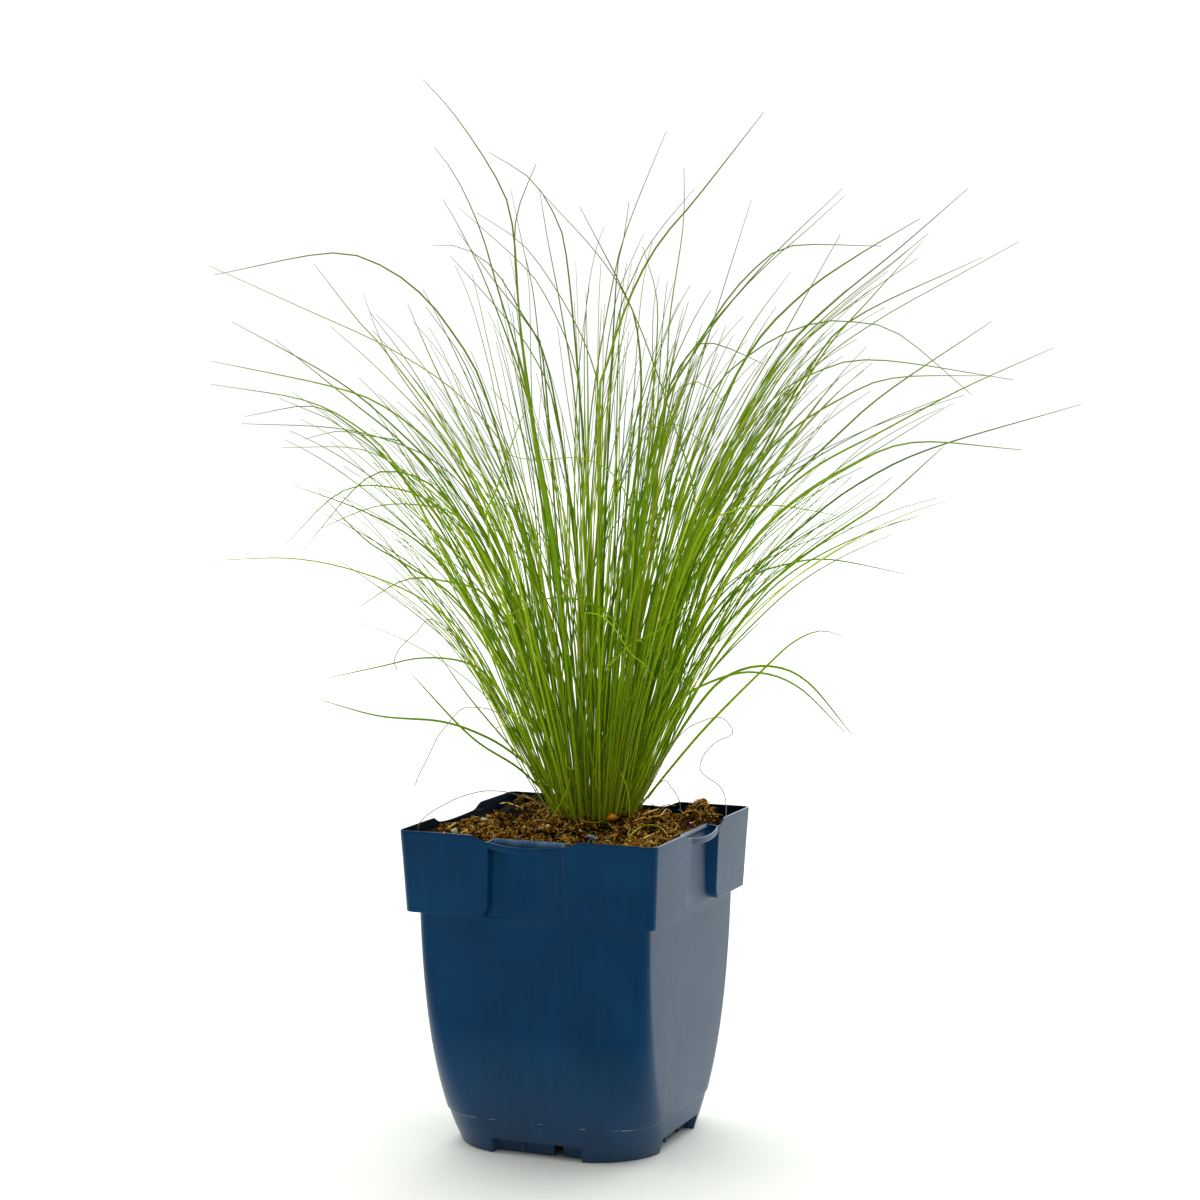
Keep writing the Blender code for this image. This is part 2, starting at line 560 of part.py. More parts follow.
def lock_points(index):
    """One lock of the crown: it rises from the sheaf and leans out, the outer ones more."""
    turn = index * LOCK_TURN
    spread = math.sqrt((index + 0.5) / LOCK_COUNT)
    points = []
    for height, reach in zip(LOCK_HEIGHTS, LOCK_REACHES):
        across = CROWN_X + reach * spread * math.cos(turn)
        back = CROWN_Y + reach * spread * math.sin(turn)
        points.append(Vector((across, back, height)))
    points[-1].z -= LOCK_TIP_FALL * spread
    return smooth_route(points, 6)


def make_crown(pieces):
    """The crown: the leaf bases that grew together, ending above in leaning locks."""
    locks = new_collection("crown_locks")
    rings = []
    for up, radius in CROWN_LEVELS:
        height = CROWN_SEAT + GAP + up * MM
        ring = []
        for k in range(CROWN_SIDES):
            turn = 2 * math.pi * k / CROWN_SIDES
            bumpy = radius * MM * (1 + CROWN_FLUTE * (-1) ** k)
            ring.append(Vector((CROWN_X + bumpy * math.cos(turn), CROWN_Y + bumpy * math.sin(turn), height)))
        rings.append(ring)
    crown = loft("grass_crown", rings, pieces)
    for index in range(LOCK_COUNT):
        points = lock_points(index)
        radii = np.linspace(LOCK_RADIUS, LEAF_TIP_RADIUS, len(points))
        tube_as_mesh(tube(f"lock_{index}", points, radii, locks), locks)
    combine(crown, "UNION", locks)
    smooth_shading(crown)
    crown.data.materials.append(plain_material("grass_base", (0.10, 0.17, 0.016), 0.55))
    return crown


def seen_point(across, height, depth):
    """The place of a point of the upright plane, moved along its line of sight to the depth."""
    stretch = 1 + depth / VIEW_DISTANCE
    place = RIGHT * (across * stretch) + AWAY * depth
    place.z = EYE_HEIGHT + (height - EYE_HEIGHT) * stretch
    return place


def leaf_route(tip_depth, pairs):
    """A leaf's whole route, its depth growing from the crown to the tip."""
    flat = [Vector((across * MM, 0, height * MM)) for across, height in pairs]
    start_depth = LEAF_START_DEPTH + LEAF_START_SHARE * tip_depth
    route = []
    fine = smooth_route(flat, 240)
    for number, point in enumerate(fine):
        share = number / (len(fine) - 1)
        depth = start_depth + (tip_depth - start_depth) * share ** LEAF_DEPTH_POWER
        route.append(seen_point(point.x, point.z, depth))
    return route


def thickness(share):
    """A leaf's radius, from 0 at its base to 1 at its tip."""
    return LEAF_RADIUS + (LEAF_TIP_RADIUS - LEAF_RADIUS) * share


def free_part(route, crown_surface):
    """The stretch of a leaf, from its tip down, that is outside the crown."""
    kept = []
    for number in range(len(route) - 1, -1, -1):
        point = route[number]
        share = number / (len(route) - 1)
        surface, normal, _, distance = crown_surface.find_nearest(point)
        inside = (point - surface).dot(normal) < 0
        near = distance < thickness(share) * CROWN_BERTH + LEAF_CLEARANCE
        if inside or near or point.z < CROWN_SEAT + LEAF_FOOT_RISE:
            break
        kept.append(point)
    return kept[::-1]


def crowded(route, placed):
    """Whether a leaf comes too close to one that is already placed."""
    here = np.array([tuple(point) for point in route])
    limit = 2 * LEAF_RADIUS * LEAF_BERTH + LEAF_CLEARANCE
    for other in placed:
        distance = np.linalg.norm(here[:, None, :] - other[None, :, :], axis=2)
        if distance.min() < limit:
            return True
    return False


def make_leaves(crown, pieces):
    """Every leaf in its own piece, set a little deeper or nearer where it would cross another."""
    depsgraph = bpy.context.evaluated_depsgraph_get()
    crown_surface = BVHTree.FromObject(crown, depsgraph)
    material = plain_material("grass_leaf", (0.14, 0.30, 0.02), 0.5)
    placed = []
    for number, (tip_depth, pairs) in enumerate(LEAF_ROUTES, start=1):
        for step in range(SHIFT_TRIES):
            shift = (step + 1) // 2 * (-1) ** step * LEAF_SHIFT
            route = free_part(leaf_route((tip_depth + shift) * MM, pairs), crown_surface)
            points = smooth_route(route, LEAF_POINTS)
            samples = smooth_route(points, 160)
            if not crowded(samples, placed):
                break
        placed.append(np.array([tuple(point) for point in samples]))
        radii = [thickness(k / (LEAF_POINTS - 1)) for k in range(LEAF_POINTS)]
        leaf = tube(f"leaf_{number:02d}", points, radii, pieces)
        leaf.data.materials.append(material)


def main():
    clear_scene()
    pieces = new_collection("potted_feather_grass")
    make_pot(pieces)
    make_soil(pieces)
    crown = make_crown(pieces)
    make_leaves(crown, pieces)


main()
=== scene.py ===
# %% [markdown]
# # A potted feather grass
#
# The object is a tuft of thread-fine leaves in a square blue nursery pot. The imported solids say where
# everything stands and how far it reaches. This script dresses them: a pot with rounded edges, crumbly
# soil, and some five hundred thin leaves in place of the few thick ones that the solids have.

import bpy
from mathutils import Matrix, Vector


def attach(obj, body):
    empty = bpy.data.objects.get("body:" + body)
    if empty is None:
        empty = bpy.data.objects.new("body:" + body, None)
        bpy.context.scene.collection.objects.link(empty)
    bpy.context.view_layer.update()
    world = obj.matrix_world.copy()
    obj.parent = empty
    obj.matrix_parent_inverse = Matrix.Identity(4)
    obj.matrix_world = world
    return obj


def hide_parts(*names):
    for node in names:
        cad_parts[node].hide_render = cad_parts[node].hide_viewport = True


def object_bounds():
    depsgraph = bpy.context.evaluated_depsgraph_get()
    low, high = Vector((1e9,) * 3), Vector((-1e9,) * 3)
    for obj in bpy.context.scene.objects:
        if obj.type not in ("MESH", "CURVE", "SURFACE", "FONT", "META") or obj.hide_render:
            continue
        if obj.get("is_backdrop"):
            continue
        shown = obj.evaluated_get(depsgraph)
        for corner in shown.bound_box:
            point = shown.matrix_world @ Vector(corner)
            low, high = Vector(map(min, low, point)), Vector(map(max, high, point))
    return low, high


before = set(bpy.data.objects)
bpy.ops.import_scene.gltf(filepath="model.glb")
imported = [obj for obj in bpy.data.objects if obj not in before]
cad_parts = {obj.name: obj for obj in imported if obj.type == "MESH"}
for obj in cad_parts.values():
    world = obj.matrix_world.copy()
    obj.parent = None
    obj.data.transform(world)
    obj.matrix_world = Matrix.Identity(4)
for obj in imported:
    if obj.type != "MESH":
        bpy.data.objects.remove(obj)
cad_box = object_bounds()
print("the solids reach from", [round(v, 3) for v in cad_box[0]], "to", [round(v, 3) for v in cad_box[1]])

# %% [markdown]
# ## Units, colours and nodes
#
# Blender works in metres, and this plant is easier to think of in millimetres, so every size is a
# number of millimetres times MM. Colours are read off as sRGB hex values, the way a paint program
# shows them, and one function turns them to the linear numbers that shaders add up. A material is a
# net of nodes, each feeding the next, so one small function adds a node, and the functions after it
# are the nodes that come up most.

# %% Units, colours and the start and end of a material
import math

import bmesh
import bpy
import numpy as np
from mathutils import Vector, noise

MM = 0.001
BODY = "root"


def linear(hex_colour):
    """An sRGB hex colour as the linear colour that shaders work in."""
    channels = [int(hex_colour[k:k + 2], 16) / 255 for k in (1, 3, 5)]
    return (*(c / 12.92 if c <= 0.04045 else ((c + 0.055) / 1.055) ** 2.4 for c in channels), 1)


def add_node(owner, kind, inputs=(), **settings):
    """One node with its settings. Each input is a value or the output that feeds it."""
    tree = owner.node_tree
    node = tree.nodes.new(kind)
    for name, value in settings.items():
        setattr(node, name, value)
    for name, value in dict(inputs).items():
        if isinstance(value, bpy.types.NodeSocket):
            tree.links.new(value, node.inputs[name])
        else:
            node.inputs[name].default_value = value
    return node


def emptied(owner):
    """A material or a world with no nodes in it yet."""
    owner.use_nodes = True
    owner.node_tree.nodes.clear()
    return owner


def new_material(name):
    return emptied(bpy.data.materials.new(name))


def surface(material, **sockets):
    """The Principled shader and the output that end a material."""
    inputs = {name.replace("_", " "): value for name, value in sockets.items()}
    shader = add_node(material, "ShaderNodeBsdfPrincipled", inputs)
    add_node(material, "ShaderNodeOutputMaterial", {"Surface": shader.outputs[0]})
    return material


print("one millimetre is", MM, "of Blender's units")


# %% The nodes that come up most, each as a function that gives its result
def object_place(owner):
    return add_node(owner, "ShaderNodeTexCoord").outputs["Object"]


def height_of(owner, place):
    return add_node(owner, "ShaderNodeSeparateXYZ", {"Vector": place}).outputs["Z"]


def drawn_up(owner, place, squeeze):
    """Places squeezed in height, so that a pattern laid on them is drawn out upwards."""
    return add_node(owner, "ShaderNodeMapping", {"Vector": place, "Scale": (1, 1, squeeze)}).outputs[0]


def noise_at(owner, place, size, detail, **more):
    """Noise from 0 to 1 whose spots are about one size."""
    inputs = {"Vector": place, "Scale": 1 / size, "Detail": detail, **more}
    return add_node(owner, "ShaderNodeTexNoise", inputs).outputs["Fac"]


def field(owner, name):
    """The numbers of one name that a piece's points carry."""
    return add_node(owner, "ShaderNodeAttribute", attribute_name=name).outputs["Fac"]


def calculated(owner, operation, *values):
    return add_node(owner, "ShaderNodeMath", enumerate(values), operation=operation).outputs[0]


def rescaled(owner, value, low, high, new_low, new_high):
    """A value carried over from one range to another, and held inside it."""
    inputs = enumerate((value, low, high, new_low, new_high))
    return add_node(owner, "ShaderNodeMapRange", inputs).outputs[0]


def colour_steps(owner, factor, steps):
    """A ColorRamp from (place, hex colour) steps."""
    ramp = add_node(owner, "ShaderNodeValToRGB", {"Fac": factor})
    stops = ramp.color_ramp.elements
    for number, (place, hex_colour) in enumerate(steps):
        stop = stops[number] if number < 2 else stops.new(place)
        stop.position = place
        stop.color = linear(hex_colour)
    return ramp.outputs["Color"]


def blended(owner, factor, base, hex_colour):
    """One colour laid over another by a factor."""
    inputs = {0: factor, 6: base, 7: linear(hex_colour)}
    return add_node(owner, "ShaderNodeMix", inputs, data_type="RGBA").outputs[2]


def bumped(owner, height, distance, strength, **more):
    """The way that the surface faces, roughened by a height."""
    inputs = {"Height": height, "Distance": distance, "Strength": strength, **more}
    return add_node(owner, "ShaderNodeBump", inputs).outputs[0]


print("half grey in sRGB is", round(linear("#808080")[0], 3), "for the shaders")

# %% [markdown]
# ## The camera
#
# The photo's viewpoint was worked out from the pot's rim, collar and foot, whose sizes are known. It
# is a long lens a little over a metre away, looking down slightly, from a corner of the pot. The
# same viewpoint turns points that were read off the photo into points in space, further below.

# %% Make the camera
VIEW_DISTANCE = 1118 * MM
EYE_HEIGHT = 314 * MM
VIEW_TURN = math.radians(22.79)
PITCH = math.radians(4.85)
PAN = math.radians(0.44)
FOCAL = 83.05
SENSOR_WIDTH = 36
AWAY = np.array([-math.sin(VIEW_TURN), math.cos(VIEW_TURN), 0])
RIGHT = np.array([math.cos(VIEW_TURN), math.sin(VIEW_TURN), 0])

camera_data = bpy.data.cameras.new("camera")
camera_data.sensor_width = SENSOR_WIDTH
camera_data.lens = FOCAL
camera = bpy.data.objects.new("camera", camera_data)
bpy.context.scene.collection.objects.link(camera)
camera.location = Vector(-AWAY * VIEW_DISTANCE) + Vector((0, 0, EYE_HEIGHT))
camera.rotation_euler = (math.pi / 2 - PITCH, 0, VIEW_TURN - PAN)
bpy.context.scene.camera = camera
print("the camera stands at", [round(v, 3) for v in camera.location])

# %% Lines of sight through the photo's pixels
PHOTO_WIDTH = 1200


def sight_line(across_pixel, down_pixel):
    """The direction in which the camera sees one pixel of the photo."""
    ahead = FOCAL / SENSOR_WIDTH * PHOTO_WIDTH
    local = Vector((across_pixel - PHOTO_WIDTH / 2, PHOTO_WIDTH / 2 - down_pixel, -ahead))
    return np.array((camera.rotation_euler.to_matrix() @ local).normalized())


print("the middle of the photo looks along", sight_line(600, 600).round(3))

# %% [markdown]
# ## Floor and light
#
# A product photo like this is taken in a white studio and lit from above and behind. The front of the pot
# is darker than its right side, and its soft shadow falls towards the camera. So the surroundings here
# are bright overhead, brighter still high up behind, and dim in front. The bright part behind gives
# the pot's right side its grey sheen, because a shiny surface that is seen at a low angle mirrors what
# lies beyond it. The camera itself sees a white backdrop, and the floor is bright enough to turn white
# too, apart from the shadow round the pot's foot.

# %% Make the floor and the surroundings
FLOOR_SIZE = 12
DIM = 0.2
OVERHEAD = 1.1
BEHIND = 3.3
BEHIND_DIRECTION = (-0.25, 0.8, 0.55)
BEHIND_FOCUS = 2
BACKDROP = 1.05

floor_paint = new_material("pale_floor")
surface(floor_paint, Base_Color=linear("#e9ece5"), Roughness=0.9)
bpy.ops.mesh.primitive_plane_add(size=FLOOR_SIZE)
floor = bpy.context.object
floor.name = "floor"
floor.data.materials.append(floor_paint)
floor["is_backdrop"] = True

world = emptied(bpy.data.worlds.new("studio"))
bpy.context.scene.world = world
direction = add_node(world, "ShaderNodeTexCoord").outputs["Generated"]
above = calculated(world, "MAXIMUM", height_of(world, direction), 0)
from_above = calculated(world, "MULTIPLY_ADD", above, OVERHEAD, DIM)
facing_inputs = {0: direction, 1: BEHIND_DIRECTION}
facing = add_node(world, "ShaderNodeVectorMath", facing_inputs, operation="DOT_PRODUCT").outputs["Value"]
behind = calculated(world, "POWER", calculated(world, "MAXIMUM", facing, 0), BEHIND_FOCUS)
brightness = calculated(world, "MULTIPLY_ADD", behind, BEHIND, from_above)
studio = add_node(world, "ShaderNodeBackground", {"Strength": brightness})
backdrop = add_node(world, "ShaderNodeBackground", {"Color": (1, 1, 1, 1), "Strength": BACKDROP})
camera_sees = add_node(world, "ShaderNodeLightPath").outputs["Is Camera Ray"]
sky_inputs = {0: camera_sees, 1: studio.outputs[0], 2: backdrop.outputs[0]}
sky = add_node(world, "ShaderNodeMixShader", sky_inputs)
add_node(world, "ShaderNodeOutputWorld", {"Surface": sky.outputs[0]})
bpy.context.scene.view_settings.view_transform = "Standard"
print("the light from straight above is", round((DIM + OVERHEAD) / DIM, 1), "times that from the front")

# %% [markdown]
# ## Putting a piece on the object
#
# Every piece is a mesh made here. It rides on the object's only body, gets its material, and hides
# the solids that it stands for.


# %% Helpers that turn points and faces into pieces
def as_piece(item, material, replaced=()):
    """Give a mesh object its material and its place on the object."""
    item.data.materials.clear()
    item.data.materials.append(material)
    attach(item, BODY)
    if replaced:
        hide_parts(*replaced)
    item.data.shade_smooth()
    triangles = sum(len(face.vertices) - 2 for face in item.data.polygons)
    print(f"{item.name}: {triangles} triangles")
    return item


def placed(name, mesh):
    """A new object in the scene that holds a mesh."""
    item = bpy.data.objects.new(name, mesh)
    bpy.context.scene.collection.objects.link(item)
    return item


def set_field(mesh, name, values):
    """Give each point of a mesh a number under one name, which its material can read."""
    mesh.attributes.new(name, "FLOAT", "POINT").data.foreach_set("value", np.asarray(values, np.float32))


def mesh_object(name, points, faces, fields=()):
    """A mesh object from points and faces, with its points' named numbers."""
    mesh = bpy.data.meshes.new(name)
    mesh.from_pydata(np.asarray(points, float), [], faces)
    for field_name, values in dict(fields).items():
        set_field(mesh, field_name, values)
    return placed(name, mesh)


# %% [markdown]
# ## The pot's shape
#
# The pot is one injection moulding of thin plastic: a body with flat sides whose corners flare into
# wide cones at the foot, and a broad collar whose four sides are set back in the middle for plant
# labels. It is built like the solid: one outline, a square with round corners and set-back sides,
# stacked at many heights up the outside and down the inside. Here there are more heights and finer
# corners, and a Bevel modifier rounds the edges, as every moulded edge is.

# %% The pot's sizes, as in the solid
POT_HEIGHT = 130 * MM
RIM_HALF = 55 * MM
WALL = 1.1 * MM
FOOT_WALL = 1.9 * MM
COLLAR_BOTTOM = 97 * MM
COLLAR_BOTTOM_HALF = 53.2 * MM
COLLAR_CORNER = 3.2 * MM
BODY_TOP_HALF = 49.5 * MM
BODY_TAPER = 2.3 * MM
FOOT_TAPER = 3.2 * MM
TAPER_BEND = 5
BODY_CORNER = 4 * MM
FOOT_FLARE = 26 * MM
FLARE_BEND = 2.2
SLOT_EDGE_TOP = 15.6 * MM
SLOT_EDGE_BOTTOM = 17 * MM
SLOT_PLANE_TOP = 50.7 * MM
SLOT_PLANE_BOTTOM = 50.1 * MM
SLOT_CORNER = 5 * MM
SLOT_FOOT = SLOT_EDGE_BOTTOM + SLOT_CORNER
SLOT_DRAFT = 0.8 * MM
RIM_SLOPE_END = 24 * MM
RIM_DROP = 2.4 * MM
SLOT_WALL_DROP = 1.5 * MM
SLOT_CHAMFER = 0.9 * MM
CHAMFER_DEPTH = 1.3 * SLOT_CHAMFER
SEAM_HEIGHT = 14.5 * MM
SEAM_STEP = 0.4 * MM
LOWEST_BEND = 10 * MM
NOTCH_EDGE = 19.3 * MM
NOTCH_TOP = 6.2 * MM
NOTCH_ROOF = 1.4 * MM
NOTCH_DEPTH = 4 * MM
SKIRT_LIFT = 0.6 * MM
FLOOR_BOTTOM = 9 * MM
FLOOR_THICK = 1.4 * MM
EDGE_HAIR = 0.1 * MM
SAME_PLACE = 0.001 * MM
BEVELLED_ANGLE = math.radians(38)
ARC_MARGIN = 1.5 * MM
ARC_SINE_LIMIT = 0.68
SIDE_SHARES = (1, 0.86, 0.72, 0.58, 0.44, 0.3, 0.15, 0)
CORNER_STEPS = 14
BODY_HEIGHTS = tuple(np.linspace(18, 92, 16) * MM)
COLLAR_RISES = tuple(rise * MM for rise in (0, 0.5, 1.1, 1.9, 3, 5, 12, 22))
print("the pot is", 2 * RIM_HALF / MM, "mm wide and", POT_HEIGHT / MM, "mm tall")


# %% The pot's outline at any height
def turned(x, y, quarter):
    """A point turned about the pot's axis by whole quarters."""
    for _ in range(quarter):
        x, y = -y, x
    return x, y


def outline(half, corner, edge, depth):
    """A square with round corners and set-back sides, as (x, y, distance from the side's middle)."""
    outer = [edge + (RIM_SLOPE_END - edge) * share for share in SIDE_SHARES]
    side = [(-along, 0) for along in outer]
    side += [(along, depth) for along in (SLOT_DRAFT - edge, 0, edge - SLOT_DRAFT)]
    side += [(along, 0) for along in reversed(outer)]
    centre = half - corner
    sine = min(max((RIM_SLOPE_END + ARC_MARGIN - centre) / corner, 0), ARC_SINE_LIMIT)
    first = math.asin(sine)
    arc = np.linspace(first, math.pi / 2 - first, CORNER_STEPS + 1)
    points = []
    for quarter in range(4):
        for along, set_back in side:
            past = max(0, abs(along) - centre)
            x = centre + math.sqrt(corner ** 2 - past ** 2) - set_back
            points.append((*turned(x, along, quarter), abs(along)))
        for angle in arc:
            x = centre + corner * math.cos(angle)
            y = centre + corner * math.sin(angle)
            points.append((*turned(x, y, quarter), half))
    return points


def level(points, height):
    """The outline's points at one height, which may depend on the distance from the side's middle."""
    if callable(height):
        return [(x, y, height(along)) for x, y, along in points]
    return [(x, y, height) for x, y, along in points]


def body_half(height):
    """Half the body's width: nearly straight, drawn in towards the foot."""
    down = (COLLAR_BOTTOM - height) / COLLAR_BOTTOM
    step = SEAM_STEP if height < SEAM_HEIGHT else 0
    return BODY_TOP_HALF - BODY_TAPER * down - FOOT_TAPER * down ** TAPER_BEND - step


def body_corner(height):
    """The body's corner radius: tight at the collar, flaring to a wide cone at the foot."""
    down = (COLLAR_BOTTOM - height) / COLLAR_BOTTOM
    return BODY_CORNER + FOOT_FLARE * down ** FLARE_BEND


def body_ring(height, inset=0, at=None, edge=NOTCH_EDGE, depth=0):
    """The body's outline, offset inwards by inset, at its own height or at another that at gives."""
    points = outline(body_half(height) - inset, body_corner(height) - inset, edge, depth)
    return level(points, height if at is None else at)


def collar_level(height, inset, chamfer=0):
    """The collar's outline at one height, offset inwards by inset, its set-back sides by chamfer more."""
    base = COLLAR_BOTTOM + inset
    up = (height - base) / (POT_HEIGHT - base)
    half = COLLAR_BOTTOM_HALF + (RIM_HALF - COLLAR_BOTTOM_HALF) * up
    plane = SLOT_PLANE_BOTTOM + (SLOT_PLANE_TOP - SLOT_PLANE_BOTTOM) * up
    edge = SLOT_EDGE_BOTTOM + (SLOT_EDGE_TOP - SLOT_EDGE_BOTTOM) * up
    below = max(0, SLOT_CORNER - (height - base))
    rounding = SLOT_CORNER - math.sqrt(SLOT_CORNER ** 2 - below ** 2)
    return outline(half - inset, COLLAR_CORNER - inset, edge + rounding + inset, half - plane + chamfer)


def collar_ring(height, inset=0, at=None, chamfer=0):
    return level(collar_level(height, inset, chamfer), height if at is None else at)


print("the foot is", round(2 * body_half(0) / MM, 1), "mm wide")


# %% The heights that change along a side: the rim's dip and the skirt's lift
def rim_height(along):
    """The rim is level at the corners and dips towards the label slot."""
    if along >= RIM_SLOPE_END:
        return POT_HEIGHT
    if along < SLOT_EDGE_TOP - EDGE_HAIR:
        return POT_HEIGHT - SLOT_WALL_DROP
    share = (RIM_SLOPE_END - along) / (RIM_SLOPE_END - SLOT_EDGE_TOP)
    return POT_HEIGHT - RIM_DROP * (0.5 - 0.5 * math.cos(math.pi * min(share, 1)))


def below_rim(along):
    """Where the set-back wall's chamfer begins. A label slides in over it."""
    return rim_height(along) - CHAMFER_DEPTH


def inner_rim_height(along):
    return rim_height(max(along - WALL, 0)) if along < RIM_SLOPE_END - WALL else POT_HEIGHT


def skirt_height(along):
    """The corner feet stand on the ground, and the skirt between them hangs just clear of it."""
    return 0 if along >= NOTCH_EDGE - EDGE_HAIR else SKIRT_LIFT


def inner_skirt_height(along):
    return 0 if along >= NOTCH_EDGE + FOOT_WALL - EDGE_HAIR else SKIRT_LIFT


print("the rim dips by up to", round(RIM_DROP / MM, 1), "mm")


# %% The pot's wall, ring by ring
def outer_rings():
    """Up the outside and over the rim's outer edge."""
    foot_heights = (NOTCH_TOP, LOWEST_BEND, SEAM_HEIGHT - SEAM_STEP, SEAM_HEIGHT)
    return [
        body_ring(0, at=skirt_height, depth=NOTCH_DEPTH),
        body_ring(NOTCH_TOP, depth=NOTCH_DEPTH),
        *(body_ring(height) for height in (*foot_heights, *BODY_HEIGHTS)),
        body_ring(COLLAR_BOTTOM, edge=SLOT_FOOT),
        *(collar_ring(COLLAR_BOTTOM + rise) for rise in COLLAR_RISES),
        collar_ring(POT_HEIGHT, at=below_rim),
        collar_ring(POT_HEIGHT, at=rim_height, chamfer=SLOT_CHAMFER),
    ]


def inner_rings():
    """Down the inside, a wall's thickness further in."""
    ledge = COLLAR_BOTTOM + WALL
    foot = {"inset": FOOT_WALL, "edge": NOTCH_EDGE + FOOT_WALL}
    return [
        collar_ring(POT_HEIGHT, WALL, at=inner_rim_height),
        *(collar_ring(ledge + rise, WALL) for rise in reversed(COLLAR_RISES)),
        body_ring(COLLAR_BOTTOM, WALL, at=ledge, edge=SLOT_FOOT + WALL),
        *(body_ring(height, WALL) for height in reversed(BODY_HEIGHTS)),
        body_ring(SEAM_HEIGHT, FOOT_WALL),
        body_ring(NOTCH_TOP + NOTCH_ROOF, **foot),
        body_ring(NOTCH_TOP + NOTCH_ROOF, depth=NOTCH_DEPTH, **foot),
        body_ring(0, at=inner_skirt_height, depth=NOTCH_DEPTH, **foot),
    ]


wall_rings = outer_rings() + inner_rings()
print("the wall has", len(wall_rings), "rings of", len(wall_rings[0]), "points")


# %% Solids from rings, and how they are rounded and joined
def loft(name, rings, closed=False):
    """A closed solid through rings of equally many points."""
    shape = bmesh.new()
    rows = [[shape.verts.new(point) for point in ring] for ring in rings]
    pairs = list(zip(rows, rows[1:]))
    if closed:
        pairs.append((rows[-1], rows[0]))
    else:
        shape.faces.new(rows[0][::-1])
        shape.faces.new(rows[-1])
    count = len(rows[0])
    for lower, upper in pairs:
        for k in range(count):
            after = (k + 1) % count
            shape.faces.new((lower[k], lower[after], upper[after], upper[k]))
    bmesh.ops.remove_doubles(shape, verts=shape.verts, dist=SAME_PLACE)
    bmesh.ops.recalc_face_normals(shape, faces=shape.faces)
    mesh = bpy.data.meshes.new(name)
    shape.to_mesh(mesh)
    shape.free()
    return placed(name, mesh)


def round_edges(item, width):
    """A Bevel modifier on the edges that turn sharply."""
    bevel = item.modifiers.new("round_edges", "BEVEL")
    bevel.width = width
    bevel.segments = 3
    bevel.limit_method = "ANGLE"
    bevel.angle_limit = BEVELLED_ANGLE
    bevel.use_clamp_overlap = False


def with_modifiers_applied(item):
    """Keep the mesh that the modifiers make, in place of the plain one."""
    evaluated = item.evaluated_get(bpy.context.evaluated_depsgraph_get())
    mesh = bpy.data.meshes.new_from_object(evaluated)
    item.modifiers.clear()
    item.data = mesh
    return item


def combine(target, operation, helpers):
    """Join helpers to the target or cut it by them, then throw the helpers away."""
    for helper in helpers:
        modifier = target.modifiers.new(operation.lower(), "BOOLEAN")
        modifier.operation = operation
        modifier.solver = "EXACT"
        modifier.object = helper
    with_modifiers_applied(target)
    for helper in helpers:
        bpy.data.objects.remove(helper)


# %% [markdown]
# ## The lip strips, the ribs and the holes
#
# A thin strip bridges each label slot at the rim. It bows outwards and sags a little, so that a
# label slides in behind it. Under the pot the floor is raised, with four drain holes, and the skirt
# between the feet has a vent and a small rib on each side.

# %% The strips, ribs, floor and holes
LIP_HALF_LENGTH = 17 * MM
LIP_HEIGHT = 2.4 * MM
LIP_THICK = 0.9 * MM
LIP_BULGE = 1.7 * MM
LIP_SAG = 1.1 * MM
LIP_INSET = 0.2 * MM
LIP_UNDER_RIM = 0.05 * MM
LIP_ROUNDING = 0.3 * MM
LIP_STEPS = 25
DRAIN_RADIUS = 5.5 * MM
DRAIN_OFFSET = 21 * MM
DRAIN_DEPTH = 8 * MM
DRAIN_CORNERS = 40
VENT_OFFSET = 8.2 * MM
VENT_WIDTHS = (5.5 * MM, 3.4 * MM)
VENT_HEIGHTS = (-1 * MM, 5.9 * MM)
VENT_CUT = (3.5 * MM, 1.2 * MM)
RIB_OFFSET = -7 * MM
RIB_HALF_WIDTH = 0.7 * MM
RIB_HEIGHTS = (1.2 * MM, 6.9 * MM)
RIB_REACH = (0.9 * MM, 1.4 * MM)


def lip_section(along):
    """The lip strip's four corners at one place along the side."""
    middle = max(0, 1 - (along / SLOT_EDGE_TOP) ** 2)
    outer = RIM_HALF - LIP_INSET + LIP_BULGE * middle
    top = POT_HEIGHT - RIM_DROP - LIP_UNDER_RIM - LIP_SAG * middle
    corners = ((outer, top), (outer, top - LIP_HEIGHT), (outer - LIP_THICK, top - LIP_HEIGHT))
    return [(x, along, z) for x, z in (*corners, (outer - LIP_THICK, top))]


def side_block(name, low, high, top_half, quarter):
    """An upright block on one side of the pot, whose top may be narrower than its foot."""
    rings = []
    middle = (low[1] + high[1]) / 2
    for z, half in ((low[2], (high[1] - low[1]) / 2), (high[2], top_half)):
        left, right = middle - half, middle + half
        plan = ((low[0], left), (high[0], left), (high[0], right), (low[0], right))
        rings.append([(*turned(x, y, quarter), z) for x, y in plan])
    return loft(name, rings)


